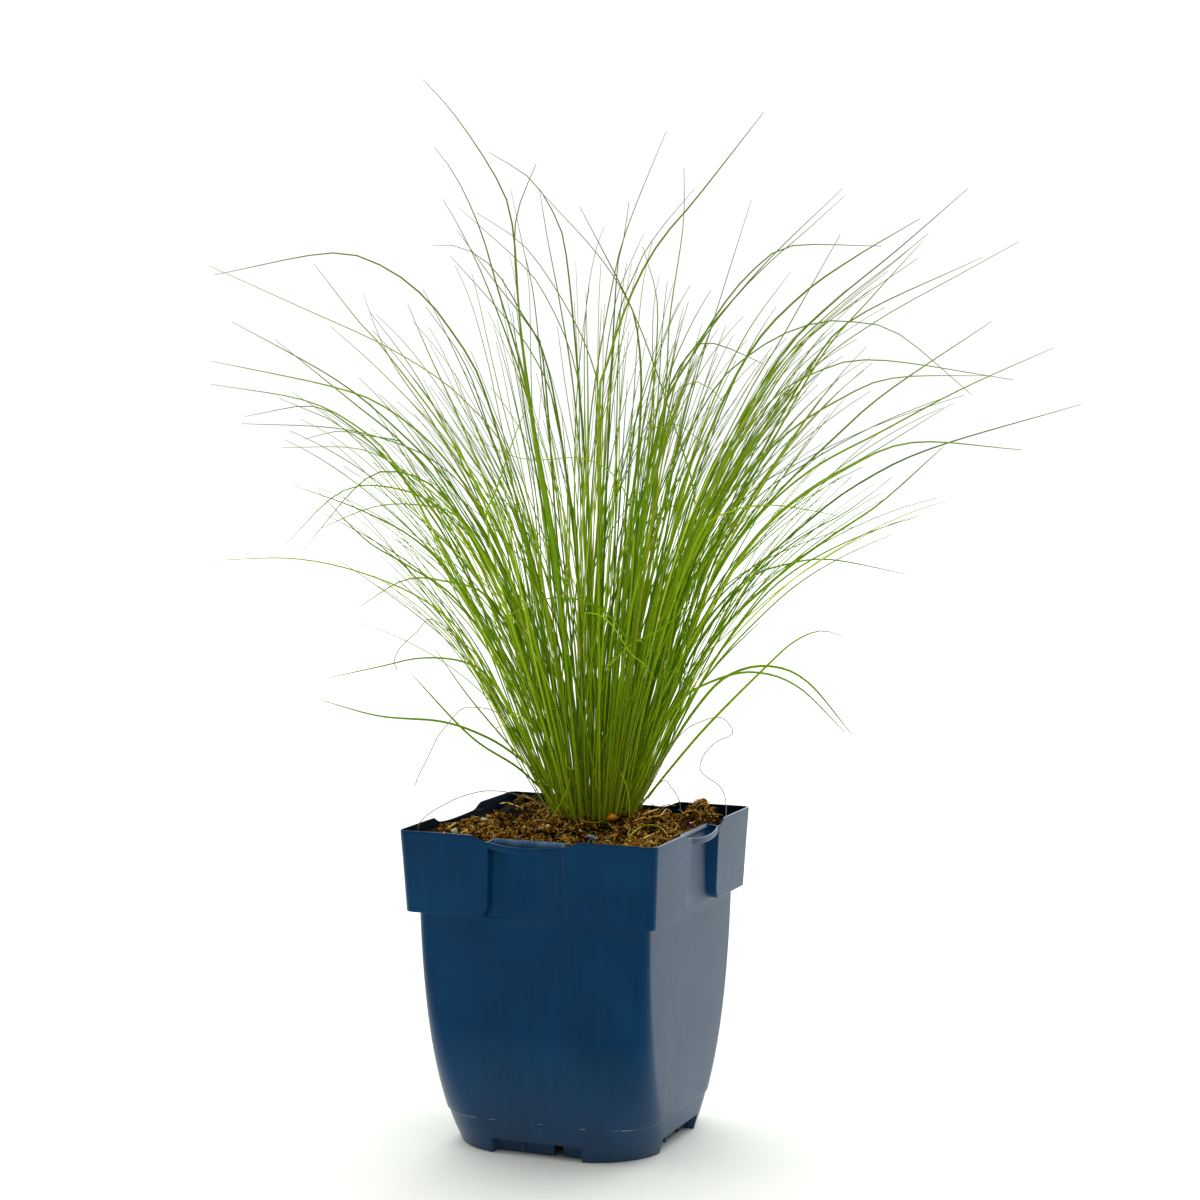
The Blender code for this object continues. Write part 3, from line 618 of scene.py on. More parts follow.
def pot_additions():
    """The floor, the lip strips and the small ribs."""
    faces = (FLOOR_BOTTOM, FLOOR_BOTTOM + FLOOR_THICK)
    pieces = [loft("floor_disc", [body_ring(height, FOOT_WALL / 2) for height in faces])]
    skirt = body_half(0) - NOTCH_DEPTH
    low = (skirt - RIB_REACH[0], RIB_OFFSET - RIB_HALF_WIDTH, RIB_HEIGHTS[0])
    high = (skirt + RIB_REACH[1], RIB_OFFSET + RIB_HALF_WIDTH, RIB_HEIGHTS[1])
    for quarter in range(4):
        places = np.linspace(-LIP_HALF_LENGTH, LIP_HALF_LENGTH, LIP_STEPS)
        rings = [[(*turned(x, y, quarter), z) for x, y, z in lip_section(along)] for along in places]
        strip = loft(f"lip_{quarter}", rings)
        round_edges(strip, LIP_ROUNDING)
        pieces.append(with_modifiers_applied(strip))
        pieces.append(side_block(f"rib_{quarter}", low, high, RIB_HALF_WIDTH, quarter))
    return pieces


def pot_holes():
    """What is cut away: the drain holes in the floor and the vents in the skirt."""
    wide, narrow = VENT_WIDTHS
    skirt = body_half(0) - NOTCH_DEPTH
    low = (skirt - VENT_CUT[0], VENT_OFFSET - wide / 2, VENT_HEIGHTS[0])
    high = (skirt + VENT_CUT[1], VENT_OFFSET + wide / 2, VENT_HEIGHTS[1])
    holes = []
    for quarter in range(4):
        holes.append(side_block(f"vent_{quarter}", low, high, narrow / 2, quarter))
        x, y = turned(DRAIN_OFFSET, DRAIN_OFFSET, quarter)
        round_hole = {"vertices": DRAIN_CORNERS, "radius": DRAIN_RADIUS, "depth": DRAIN_DEPTH}
        bpy.ops.mesh.primitive_cylinder_add(location=(x, y, FLOOR_BOTTOM + FLOOR_THICK / 2), **round_hole)
        holes.append(bpy.context.object)
    return holes


print("each lip strip bows out by", round(LIP_BULGE / MM, 1), "mm")

# %% [markdown]
# ## The pot's plastic
#
# The plastic is polypropylene, dyed navy blue through and moulded against a matt steel tool. It is satin:
# a soft broad reflection that is weak face-on and strong at a low angle. Close to, the tool leaves a
# fine upright grain, and the plastic has faint clouds and upright streaks where it flowed. Where the two
# halves of the tool met, a thin pale line of flash runs round the foot, and low down the blue is painted
# paler as light bounced up from the floor. Inside, the wall is painted nearly black and dull as painted
# shade, and the slanted top of the front slot is painted pale, partly as scuffs from labels and partly as a
# painted highlight. The pot's points carry where the painted shade and the scuffs are.

# %% The blue polypropylene: clouds, streaks and the tool's grain
GRAIN = 0.45 * MM
PORES = 0.9 * MM
CLOUD = 28 * MM
FLOW = 2.6 * MM
UPRIGHT = 0.06
CLOUD_SHARE = 0.6
FLOW_SHARE = 0.26
BLUE_SHIFT = 0.07
BLUES = ((0.36, "#012442"), (0.5, "#022a4a"), (0.64, "#043154"))

moulded_blue = new_material("moulded_blue_polypropylene")
place = object_place(moulded_blue)
upright = drawn_up(moulded_blue, place, UPRIGHT)
flow = noise_at(moulded_blue, upright, FLOW, 4)
grain = noise_at(moulded_blue, upright, GRAIN, 3, Roughness=0.6)
pores = noise_at(moulded_blue, place, PORES, 5)
clouds = noise_at(moulded_blue, place, CLOUD, 4)
cloudy = calculated(moulded_blue, "MULTIPLY_ADD", clouds, CLOUD_SHARE, BLUE_SHIFT)
streaky = calculated(moulded_blue, "MULTIPLY_ADD", flow, FLOW_SHARE, cloudy)
blue = colour_steps(moulded_blue, streaky, BLUES)
print("grain of", GRAIN / MM, "mm and clouds of", CLOUD / MM, "mm")

# %% The line of flash round the foot, and the painted bounce light low down
# Here and below, four numbers together are a pattern's range and the range that it turns into
FLASH_HALF = 0.16 * MM
FLASH_EDGE = 2.2
FLASH_WAVE = 9 * MM
FLASH_WANDER = 0.9 * MM
FLASH_DROP = 0.3 * MM
FLASH_BREAKS = 5 * MM
FLASH_KEPT = (0.5, 0.6, 0, 0.55)
FLASH_COLOUR = "#8fa8bd"
BOUNCE_LIGHT_TOP = 50 * MM
BOUNCE_LIGHT_SHARE = 0.08
BOUNCE_LIGHT_COLOUR = "#9fb0bd"

height = height_of(moulded_blue, place)
wave = noise_at(moulded_blue, place, FLASH_WAVE, 2)
wander = calculated(moulded_blue, "MULTIPLY_ADD", wave, FLASH_WANDER, -SEAM_HEIGHT - FLASH_DROP)
off_seam = calculated(moulded_blue, "ABSOLUTE", calculated(moulded_blue, "ADD", height, wander))
on_seam = rescaled(moulded_blue, off_seam, FLASH_HALF, FLASH_HALF * FLASH_EDGE, 1, 0)
breaks = noise_at(moulded_blue, place, FLASH_BREAKS, 3)
unbroken = rescaled(moulded_blue, breaks, *FLASH_KEPT)
flash = calculated(moulded_blue, "MULTIPLY", on_seam, unbroken)
# Painted light: the pot is painted paler towards the foot, as light bounced up from the floor
painted_bounce_light = rescaled(moulded_blue, height, 0, BOUNCE_LIGHT_TOP, BOUNCE_LIGHT_SHARE, 0)
with_bounce_light = blended(moulded_blue, painted_bounce_light, blue, BOUNCE_LIGHT_COLOUR)
flashed_colour = blended(moulded_blue, flash, with_bounce_light, FLASH_COLOUR)
print("flash", 2 * FLASH_HALF / MM, "mm wide, and dust up to", BOUNCE_LIGHT_TOP / MM, "mm")

# %% The scuffs with their painted highlight, the painted shade inside, and the sheen
SCUFF_HIGHLIGHT_REACH = 3 * MM
SCUFF_HIGHLIGHT_COLOUR = "#7f9cb6"
PAINTED_SHADE_COLOUR = "#040a14"
PAINTED_SHADE_ROUGHNESS = 0.55
SATIN_ROUGHNESS = (0.3, 0.7, 0.3, 0.38)
SCUFF_HIGHLIGHT_PATCHES = (0.4, 0.6, 0.5, 1)
SHINE_OUTSIDE_PAINTED_SHADE = 0.5
PLASTIC_IOR = 1.49
SHEEN_TINT = (0.1, 0.35, 0.8, 1)
GRAIN_DEPTH = 0.02 * MM
PORE_DEPTH = 0.03 * MM

# Painted shade: the pot's inside and the top of its left rim are painted near-black, dull and without shine
painted_shade = field(moulded_blue, "painted_shade")
# The top of the front slot's set-back wall is painted pale: partly scuffs, partly a painted highlight
slot_wall_top = POT_HEIGHT - SLOT_WALL_DROP
reach = rescaled(moulded_blue, height, slot_wall_top - SCUFF_HIGHLIGHT_REACH, slot_wall_top, 0, 1)
in_reach = calculated(moulded_blue, "MULTIPLY", field(moulded_blue, "scuff_and_highlight"), reach)
patchy_scuff_and_highlight = rescaled(moulded_blue, flow, *SCUFF_HIGHLIGHT_PATCHES)
scuff_and_highlight = calculated(moulded_blue, "MULTIPLY", in_reach, patchy_scuff_and_highlight)
with_scuff_and_highlight = blended(moulded_blue, scuff_and_highlight, flashed_colour, SCUFF_HIGHLIGHT_COLOUR)
sheen = rescaled(moulded_blue, pores, *SATIN_ROUGHNESS)
grain_facing = bumped(moulded_blue, grain, GRAIN_DEPTH, 0.6)
surface(
    moulded_blue,
    Base_Color=blended(moulded_blue, painted_shade, with_scuff_and_highlight, PAINTED_SHADE_COLOUR),
    Roughness=calculated(moulded_blue, "MULTIPLY_ADD", painted_shade, PAINTED_SHADE_ROUGHNESS, sheen),
    IOR=PLASTIC_IOR,
    Specular_IOR_Level=rescaled(moulded_blue, painted_shade, 0, 1, SHINE_OUTSIDE_PAINTED_SHADE, 0),
    Specular_Tint=SHEEN_TINT,
    Normal=bumped(moulded_blue, pores, PORE_DEPTH, 0.5, Normal=grain_facing),
)
print("scuffs reach", SCUFF_HIGHLIGHT_REACH / MM, "mm down from the front slot's top")

# %% Build the pot
EDGE_ROUNDING = 0.35 * MM
SHARP_ANGLE = math.radians(40)
PAINTED_SHADE_STRENGTH = 0.85
SCUFF_AND_HIGHLIGHT_STRENGTH = 0.5
INWARDS = -0.2
LEFT_SIDE = -40 * MM
LEFT_INWARDS = 0.3


def painted_shade_at(vert):
    """How much painted shade a point gets: where its surface faces the pot's inside, and on top of the left
    rim.
    """
    outwards = Vector((vert.co.x, vert.co.y, 0)).normalized()
    limit = LEFT_INWARDS if vert.co.x < LEFT_SIDE else INWARDS
    return PAINTED_SHADE_STRENGTH * (vert.normal.dot(outwards) < limit)


def scuff_and_highlight_at(vert):
    """How much scuff and painted highlight a point gets: only the top of the front's set-back wall."""
    in_slot = abs(vert.co.x) < SLOT_EDGE_TOP and abs(vert.co.y + SLOT_PLANE_TOP) < WALL
    return SCUFF_AND_HIGHLIGHT_STRENGTH * (in_slot and vert.co.z > POT_HEIGHT - SLOT_WALL_DROP - SCUFF_HIGHLIGHT_REACH)


pot = loft("nursery_pot", wall_rings, closed=True)
round_edges(pot, EDGE_ROUNDING)
with_modifiers_applied(pot)
combine(pot, "UNION", pot_additions())
combine(pot, "DIFFERENCE", pot_holes())
set_field(pot.data, "painted_shade", [painted_shade_at(vert) for vert in pot.data.vertices])
set_field(pot.data, "scuff_and_highlight", [scuff_and_highlight_at(vert) for vert in pot.data.vertices])
as_piece(pot, moulded_blue, ["pot"])
pot.data.set_sharp_from_angle(angle=SHARP_ANGLE)

# %% [markdown]
# ## The soil
#
# Potting mix is brown peat with golden fibres, crumbs of every size, white perlite and a few bits of
# bark and straw. It fills the pot to just under the rim, heaped against the left side and in one tall lump
# at the right, with dark hollows between. It is built as one block with a lumpy top, and on that lie
# the crumbs, each a small stone-like shape with its own dents.

# %% The ground's height
GAP = 0.35 * MM
SOIL_MIDDLE = 125.3 * MM
SOIL_SLOPES = (-0.006, 0.004)
LUMP_HEIGHT = 0.7 * MM
LUMP_LENGTHS = (9 * MM, 11 * MM)
HEAP_PLACE = (44 * MM, 25 * MM)
HEAP_HEIGHT = 6.5 * MM
HEAP_RADIUS = 6 * MM
CROWN_X = 4 * MM
CROWN_Y = 13 * MM
CROWN_SEAT = 128.6 * MM
CROWN_SEAT_RADIUS = 19 * MM
CROWN_SEAT_BLEND = 20 * MM
# The length and the height of the lumps, and how far apart their noises are read
GROUND_LUMPS = ((8 * MM, 2.8 * MM), (3.4 * MM, 2.5 * MM), (1.5 * MM, 1.0 * MM))
NOISE_APART = 7
# Heaps are painted lighter, as painted light, by up to this height
MOST_PAINTED_LIGHT = 1.2 * MM
# Patches of painted shade that the photo shows: place, how much darker they are painted as millimetres of
# height, and radius in millimetres
PAINTED_SHADE_PATCHES = (
    (-38, 24, 2.6, 8),
    (-28, 5, 2.6, 4.5),
    (-48, 10, 1.4, 5),
    (-15, 17, 1.6, 5),
    (15, 45, 1.8, 8),
)
# Smaller heaps and hollows that the photo shows: place, height and radius in millimetres
LOOSE_HEAPS = (
    (-44, -20, 1.2, 8),
    (-51, -4, -1.6, 5),
    (-51, 10, -2.4, 7),
    (-51, 30, -2.6, 8),
    (-42, 42, 1.6, 6),
    (44, 23, 2.6, 6),
    (44, -25, 0.6, 8),
    (-36, 26, -6.5, 5.5),
    (-21, 30, -3.0, 4.5),
    (11, -4, -2.8, 4.5),
    (28, 47, -2.2, 11),
    (-49, -38, -2.4, 8),
    (50, 45, -2.5, 8),
)


def packed_height(x, y):
    """The top of the soil's solid."""
    slope = SOIL_MIDDLE + SOIL_SLOPES[0] * x + SOIL_SLOPES[1] * y
    lumps = LUMP_HEIGHT * math.sin(x / LUMP_LENGTHS[0]) * math.cos(y / LUMP_LENGTHS[1])
    from_heap = math.hypot(x - HEAP_PLACE[0], y - HEAP_PLACE[1]) / HEAP_RADIUS
    ground = slope + lumps + HEAP_HEIGHT * math.exp(-from_heap ** 2 / 2)
    away = math.hypot(x - CROWN_X, y - CROWN_Y)
    share = min(max((away - CROWN_SEAT_RADIUS) / CROWN_SEAT_BLEND, 0), 1)
    blend = share * share * (3 - 2 * share)
    return CROWN_SEAT + (ground - CROWN_SEAT) * blend


def relief(x, y):
    """How far the small lumps raise or lower the ground at one place."""
    lumps = [(size, Vector((x, y, NOISE_APART * size)) / length) for length, size in GROUND_LUMPS]
    return sum(size * noise.noise(place) for size, place in lumps)


def ground_height(x, y):
    """The ground: the solid's top with the photo's heaps and hollows and with lumps of three sizes."""
    height = packed_height(x, y) + relief(x, y)
    for heap_x, heap_y, rise, radius in LOOSE_HEAPS:
        distance = math.hypot(x / MM - heap_x, y / MM - heap_y) / radius
        height += rise * MM * math.exp(-distance ** 2 / 2)
    return height


def shade_and_light_height(x, y):
    """How high a place counts for painted light and shade, in millimetres over the packed soil. Hollows get
    painted shade, heaps painted light up to a limit, and the patches more painted shade.
    """
    lit_height = min(ground_height(x, y) - packed_height(x, y), MOST_PAINTED_LIGHT) / MM
    for patch_x, patch_y, shade_depth, radius in PAINTED_SHADE_PATCHES:
        distance = math.hypot(x / MM - patch_x, y / MM - patch_y) / radius
        lit_height -= shade_depth * math.exp(-distance ** 2 / 2)
    return lit_height


print("the ground at the tuft is", round(ground_height(CROWN_X, CROWN_Y) / MM, 1), "mm up")

# %% The soil's colours
SPECK_CONTRAST = 1.6
SPECK_SHIFT = -0.78


def soil_material(name, steps, grain_size, bump):
    """Crumbly brown stuff: its colour follows each crumb's own tone and a fine grain."""
    material = new_material(name)
    speck = noise_at(material, object_place(material), grain_size, 6)
    contrast = calculated(material, "MULTIPLY_ADD", speck, SPECK_CONTRAST, SPECK_SHIFT)
    factor = calculated(material, "ADD", contrast, field(material, "tone"))
    return surface(
        material,
        Base_Color=colour_steps(material, factor, steps),
        Roughness=0.95,
        Specular_IOR_Level=0.04,
        Normal=bumped(material, speck, bump, 0.8),
    )


PEAT_STEPS = ((0.0, "#050200"), (0.3, "#1a0d01"), (0.5, "#5a3805"), (0.72, "#9e6b12"), (0.95, "#dcab48"))
GRANULE_STEPS = ((0.0, "#0a3a70"), (0.6, "#1f66a8"), (1.0, "#7fb0dd"))
FLAKE_STEPS = ((0.0, "#a85d06"), (0.5, "#e08f10"), (1.0, "#f0b640"))
FIBRE_STEPS = ((0.0, "#1a0f02"), (0.2, "#4c3004"), (0.45, "#996c14"), (0.75, "#d0a648"), (1.0, "#efd894"))
PERLITE_STEPS = ((0.0, "#b39c6a"), (0.5, "#e6d8b2"), (1.0, "#fbf5e2"))
THREAD_STEPS = ((0.0, "#4c3f30"), (0.5, "#7a6a55"), (1.0, "#ac9e84"))

moist_peat = soil_material("moist_peat", PEAT_STEPS, 1.1 * MM, 0.35 * MM)
peat_fibre = soil_material("peat_fibre", FIBRE_STEPS, 0.8 * MM, 0.05 * MM)
perlite_foam = soil_material("perlite_foam", PERLITE_STEPS, 0.5 * MM, 0.15 * MM)
granule_coat = soil_material("coated_feed_granule", GRANULE_STEPS, 0.6 * MM, 0.05 * MM)
bark_flake = soil_material("bark_flake", FLAKE_STEPS, 0.7 * MM, 0.05 * MM)
dry_thread = soil_material("dry_root_thread", THREAD_STEPS, 0.5 * MM, 0.02 * MM)
print("the soil has six materials, the first of them", moist_peat.name)

# %% Build the soil's block with its lumpy top
GROUND_RINGS = 80
BLOCK_BENDS = (22 * MM, 50 * MM)
BLOCK_RISES = (0, 1.6 * MM, 5 * MM)
BLOCK_TOP = 122 * MM
BLOCK_TONE = 0.17
BLOCK_SHADE_PER_MM = 0.13


def soil_sides():
    """The block's rings up the inside of the pot, from its floor to the collar."""
    ledge = COLLAR_BOTTOM + WALL + GAP
    return [
        body_ring(FLOOR_BOTTOM + FLOOR_THICK + GAP, FOOT_WALL + GAP),
        *(body_ring(height, WALL + GAP) for height in BLOCK_BENDS),
        body_ring(COLLAR_BOTTOM, WALL + GAP, at=ledge, edge=SLOT_FOOT + WALL),
        *(collar_ring(ledge + rise, WALL + GAP) for rise in BLOCK_RISES),
    ]


def build_soil():
    """The whole block of soil, its top drawn in ring by ring towards the tuft."""
    rings = soil_sides()
    edge = collar_level(BLOCK_TOP, WALL + GAP)
    for number in range(GROUND_RINGS):
        size = 1 - number / GROUND_RINGS
        places = [(CROWN_X + (x - CROWN_X) * size, CROWN_Y + (y - CROWN_Y) * size) for x, y, _ in edge]
        rings.append([(x, y, ground_height(x, y)) for x, y in places])
    block = loft("soil_block", rings)
    # Painted shade and light: the block's top is painted darker in hollows and lighter on heaps
    heights = np.array([shade_and_light_height(vert.co.x, vert.co.y) for vert in block.data.vertices])
    set_field(block.data, "tone", BLOCK_TONE + BLOCK_SHADE_PER_MM * heights)
    as_piece(block, moist_peat, ["soil"])


build_soil()

# %% [markdown]
# ## Crumbs and perlite
#
# Thousands of crumbs are made at once with arrays: one small ball of triangles is copied, and each
# copy gets its own size, squash, turn and dents from seeded random numbers. Joined in one
# mesh they cost little, and they still cast real shadows on each other, which is what makes
# soil look like soil. A crumb in a hollow is painted darker, as painted shade, and one on a heap
# lighter, as painted light. The grains of
# perlite that stand out in the photo are put where it shows them.

# %% Scatter many dented lumps as one mesh
# How much darker a tone is painted per millimetre lower, as painted shade in the hollows
SHADE_PER_MM = 0.17
TONE_LIMITS = (0.02, 0.97)
COLLAR_INSIDE = 53 * MM
SLOT_INSIDE = 48.9 * MM
SLOT_REACH = 20 * MM


def inside_pot(x, y, margin):
    """Whether a place lies inside the collar, clear of its walls and of the set-back sides."""
    long_way, short_way = max(abs(x), abs(y)), min(abs(x), abs(y))
    return long_way < (SLOT_INSIDE if short_way < SLOT_REACH else COLLAR_INSIDE) - margin


def soil_places(count, chance, margin):
    """Random places on the ground inside the pot."""
    places = []
    while len(places) < count:
        x, y = chance.uniform(-COLLAR_INSIDE, COLLAR_INSIDE, 2)
        if inside_pot(x, y, margin):
            places.append((x, y, ground_height(x, y)))
    return np.array(places)


def tones_with_painted_shade(places, middle, spread, chance):
    """A tone for each place: random, painted darker as painted shade where the ground is low, and lighter on
    heaps.
    """
    heights = np.array([shade_and_light_height(x, y) for x, y, _ in places])
    return (chance.normal(middle, spread, len(places)) + SHADE_PER_MM * heights).clip(*TONE_LIMITS)


def random_turns(count, chance):
    """Random rotation matrices, from random quaternions."""
    q = chance.normal(size=(count, 4))
    w, x, y, z = (q / np.linalg.norm(q, axis=1, keepdims=True)).T
    rows = [
        [1 - 2 * (y * y + z * z), 2 * (x * y - z * w), 2 * (x * z + y * w)],
        [2 * (x * y + z * w), 1 - 2 * (x * x + z * z), 2 * (y * z - x * w)],
        [2 * (x * z - y * w), 2 * (y * z + x * w), 1 - 2 * (x * x + y * y)],
    ]
    return np.moveaxis(np.array(rows), 2, 0)


def ball(subdivisions):
    """A ball of triangles, as points and faces."""
    shape = bmesh.new()
    bmesh.ops.create_icosphere(shape, subdivisions=subdivisions, radius=1)
    points = np.array([vert.co[:] for vert in shape.verts])
    faces = np.array([[vert.index for vert in face.verts] for face in shape.faces])
    shape.free()
    return points, faces


def dented_lumps(name, places, sizes, squash, dent, subdivisions, chance, tones):
    """One mesh of many lumps. squash is the range of each lump's three widths."""
    points, faces = ball(subdivisions)
    count = len(places)
    dents = 1 + dent * chance.normal(size=(count, len(points), 1))
    shapes = points[None] * dents * chance.uniform(*squash, size=(count, 1, 3))
    shapes = np.einsum("nij,npj->npi", random_turns(count, chance), shapes)
    shapes = shapes * sizes[:, None, None] + places[:, None, :]
    numbered = faces[None] + (np.arange(count) * len(points))[:, None, None]
    tone = np.repeat(tones, len(points))
    return mesh_object(name, shapes.reshape(-1, 3), numbered.reshape(-1, 3).tolist(), {"tone": tone})


print("a small crumb has", len(ball(1)[1]), "triangles and a large one", len(ball(2)[1]))

# %% Scatter the crumbs
chance = np.random.default_rng(11)


def scatter_crumbs(name, count, clear, size, tone, raised, squash, dent, subdivisions):
    """Crumbs all over the ground. size is the typical one, its spread and its limits, in millimetres."""
    typical, spread, *limits = size
    places = soil_places(count, chance, clear * MM)
    sizes = chance.lognormal(math.log(typical), spread, count).clip(*limits) * MM
    tones = tones_with_painted_shade(places, *tone, chance)
    places[:, 2] += sizes * chance.uniform(*raised, count)
    crumbs = dented_lumps(name, places, sizes, squash, dent, subdivisions, chance, tones)
    as_piece(crumbs, moist_peat)


small_shape = {"raised": (-0.1, 0.9), "squash": (0.3, 1.3), "dent": 0.3, "subdivisions": 1}
scatter_crumbs("soil_crumbs_small", 9000, 0.8, (0.4, 0.45, 0.2, 1.1), (0.44, 0.26), **small_shape)
large_shape = {"raised": (-0.6, 0.15), "squash": (0.35, 1.2), "dent": 0.24, "subdivisions": 2}
scatter_crumbs("soil_crumbs_large", 650, 2, (1.0, 0.35, 0.6, 2.0), (0.28, 0.13), **large_shape)

# %% Put the perlite and the odd bits where the photo shows them
# Photo pixels, and the size in millimetres
SEEN_PERLITE = (
    (455, 833, 1.9), (484, 820, 1.4), (500, 812, 0.6), (582, 813, 0.65), (576, 822, 0.55),
    (581, 831, 0.9), (540, 828, 0.5), (622, 831, 0.7), (691, 825, 1.3), (671, 837, 0.7), (651, 843, 0.9),
    (641, 806, 0.6), (589, 836, 0.6), (430, 838, 0.4), (517, 822, 0.45), (610, 838, 0.4), (665, 824, 0.4),
)
SEEN_GRANULE = (592, 838, 1.15)
SEEN_FLAKE = (612, 817, 1.7)
SEEN_DENT = 0.26
SEEN_TONES = (0.35, 0.9)
# How far from the camera a line of sight is searched for the ground, in metres, and in what steps
SEARCHED = (1.04, 1.3)
STEP_AWAY = 0.4 * MM
# Photo pixels that a millimetre of height takes up at the pot
LIFT_PIXELS = 2.8


def on_ground(across_pixel, down_pixel):
    """Where the line of sight through a photo pixel meets the ground, or comes nearest to it."""
    direction = sight_line(across_pixel, down_pixel)
    nearest, least = None, math.inf
    for travelled in np.arange(*SEARCHED, STEP_AWAY):
        point = np.array(camera.location) + direction * travelled
        if inside_pot(point[0], point[1], 0.5 * MM):
            above_ground = point[2] - ground_height(point[0], point[1])
            if above_ground < least:
                nearest, least = point, above_ground
            if above_ground < 0:
                break
    return nearest


def place_lumps(name, rows, squash, material, raised=0.4):
    """Lumps at photo pixels, each given as across, down and size in millimetres."""
    places = np.array([on_ground(across, down + LIFT_PIXELS * raised * size) for across, down, size in rows])
    sizes = np.array([size for _, _, size in rows]) * MM
    places[:, 2] += sizes * raised
    tones = chance.uniform(*SEEN_TONES, len(rows))
    lumps = dented_lumps(name, places, sizes, squash, SEEN_DENT, 2, chance, tones)
    as_piece(lumps, material)


place_lumps("perlite_seen", SEEN_PERLITE, (0.5, 1.2), perlite_foam)
place_lumps("blue_feed_granule", [SEEN_GRANULE], (0.9, 1.1), granule_coat, raised=0.8)
place_lumps("bark_flake", [SEEN_FLAKE], (0.4, 1.1), bark_flake, raised=1.3)

# %% Scatter a little more perlite, in small grains
PERLITE_COUNT = 34

places = soil_places(PERLITE_COUNT, chance, 2.5 * MM)
sizes = chance.lognormal(math.log(0.45), 0.35, PERLITE_COUNT).clip(0.25, 0.8) * MM
places[:, 2] += sizes * 0.5
tones = chance.uniform(0.1, 0.8, PERLITE_COUNT)
perlite = dented_lumps("perlite_small", places, sizes, (0.6, 1.1), 0.08, 2, chance, tones)
as_piece(perlite, perlite_foam)

# %% [markdown]
# ## Tubes through routes
#
# Leaves, fibres and root threads are all thin tubes. One function builds any number of them at once
# from arrays: for each route a frame of two side directions is carried along it without twisting,
# and a ring of corners is set round each point. Each tube keeps its share along its length and its own
# tone, which the material reads.


# %% Make many tubes as one mesh
SMALLEST = 1e-12
# The first side direction is square to the route and to this one, which hardly any route follows
ODD_DIRECTION = (0.3, 0.9, 0.2)


def unit(vectors):
    return vectors / np.linalg.norm(vectors, axis=-1, keepdims=True).clip(SMALLEST)


def carried_frames(routes):
    """Two side directions at every point of every route, carried along without twisting."""
    ahead = unit(np.gradient(routes, axis=1))
    sides = [unit(np.cross(ahead[:, 0], ODD_DIRECTION))]
    for k in range(1, routes.shape[1]):
        carried = sides[-1] - ahead[:, k] * np.sum(sides[-1] * ahead[:, k], axis=1, keepdims=True)
        sides.append(unit(carried))
    sides = np.stack(sides, axis=1)
    return sides, np.cross(ahead, sides)


def tubes(name, routes, radii, sides, tones, flatness=1.0, extra=()):
    """Tapering tubes along routes (tube, point, 3) with radii (tube, point)."""
    count, points = radii.shape
    across, over = carried_frames(routes)
    turns = np.linspace(0, 2 * math.pi, sides, endpoint=False)
    ring = across[:, :, None] * np.cos(turns)[:, None] + over[:, :, None] * np.sin(turns)[:, None] * flatness
    corners = routes[:, :, None] + ring * radii[:, :, None, None]
    index = np.arange(count * points * sides).reshape(count, points, sides)
    after = np.roll(index, -1, axis=2)
    quads = np.stack([index[:, :-1], after[:, :-1], after[:, 1:], index[:, 1:]], axis=-1)
    ends = np.concatenate([index[:, 0, ::-1], index[:, -1]])
    share = np.broadcast_to(np.linspace(0, 1, points)[None, :, None], index.shape)
    tone = np.broadcast_to(tones[:, None, None], index.shape)
    fields = {"along": share.reshape(-1), "tone": tone.reshape(-1)}
    for field_name, values in dict(extra).items():
        fields[field_name] = np.broadcast_to(values[:, None, None], index.shape).reshape(-1)
    faces = quads.reshape(-1, 4).tolist() + ends.tolist()
    return mesh_object(name, corners.reshape(-1, 3), faces, fields)


# %% [markdown]
# ## Fibres, bark and root threads
#
# Short golden fibres lie in the peat in every direction. A few longer straws, fallen leaves and root
# threads lie on top, and those are put where the photo shows them, by its pixels. One thread hangs over the
# rim on the left, and two pale curly ones stand out of the soil on the right.

# %% Strew the fibres
FIBRE_COUNT = 6100
CHIP_COUNT = 30
FIBRE_CLEAR = 3.5 * MM
FIBRE_LIFT = 0.6 * MM
FIBRE_BEND = 1.1
FIBRE_CLIMB = (0.1, 0.35)
FIBRE_ARCH = 0.22
FIBRE_SIDES = 3
STRAW_SIDES = 5
FIBRE_PROFILE = np.array([0.5, 0.9, 1, 1, 0.8, 0.4])
CHIP_PROFILE = np.array([0.6, 0.95, 1.05, 1, 0.9, 0.55])


def lying_fibres(lengths, chance):
    """Short bent routes that lie on the ground, one for each length."""
    count, points = len(lengths), len(FIBRE_PROFILE)
    places = soil_places(count, chance, FIBRE_CLEAR)
    heading = chance.uniform(0, 2 * math.pi, count)
    bend = chance.normal(0, FIBRE_BEND, count)
    climb = chance.normal(*FIBRE_CLIMB, count)
    share = np.linspace(-0.5, 0.5, points)
    turn = heading[:, None] + bend[:, None] * share[None]
    steps = lengths[:, None] / points
    back = lengths[:, None] * 0.5
    x = places[:, :1] + np.cumsum(np.cos(turn) * steps, axis=1) - back * np.cos(heading)[:, None]
    y = places[:, 1:2] + np.cumsum(np.sin(turn) * steps, axis=1) - back * np.sin(heading)[:, None]
    z = places[:, 2:] + FIBRE_LIFT + climb[:, None] * share[None] * lengths[:, None]
    z = z + FIBRE_ARCH * lengths[:, None] * (0.25 - share[None] ** 2)
    return np.stack([x, y, z], axis=-1)


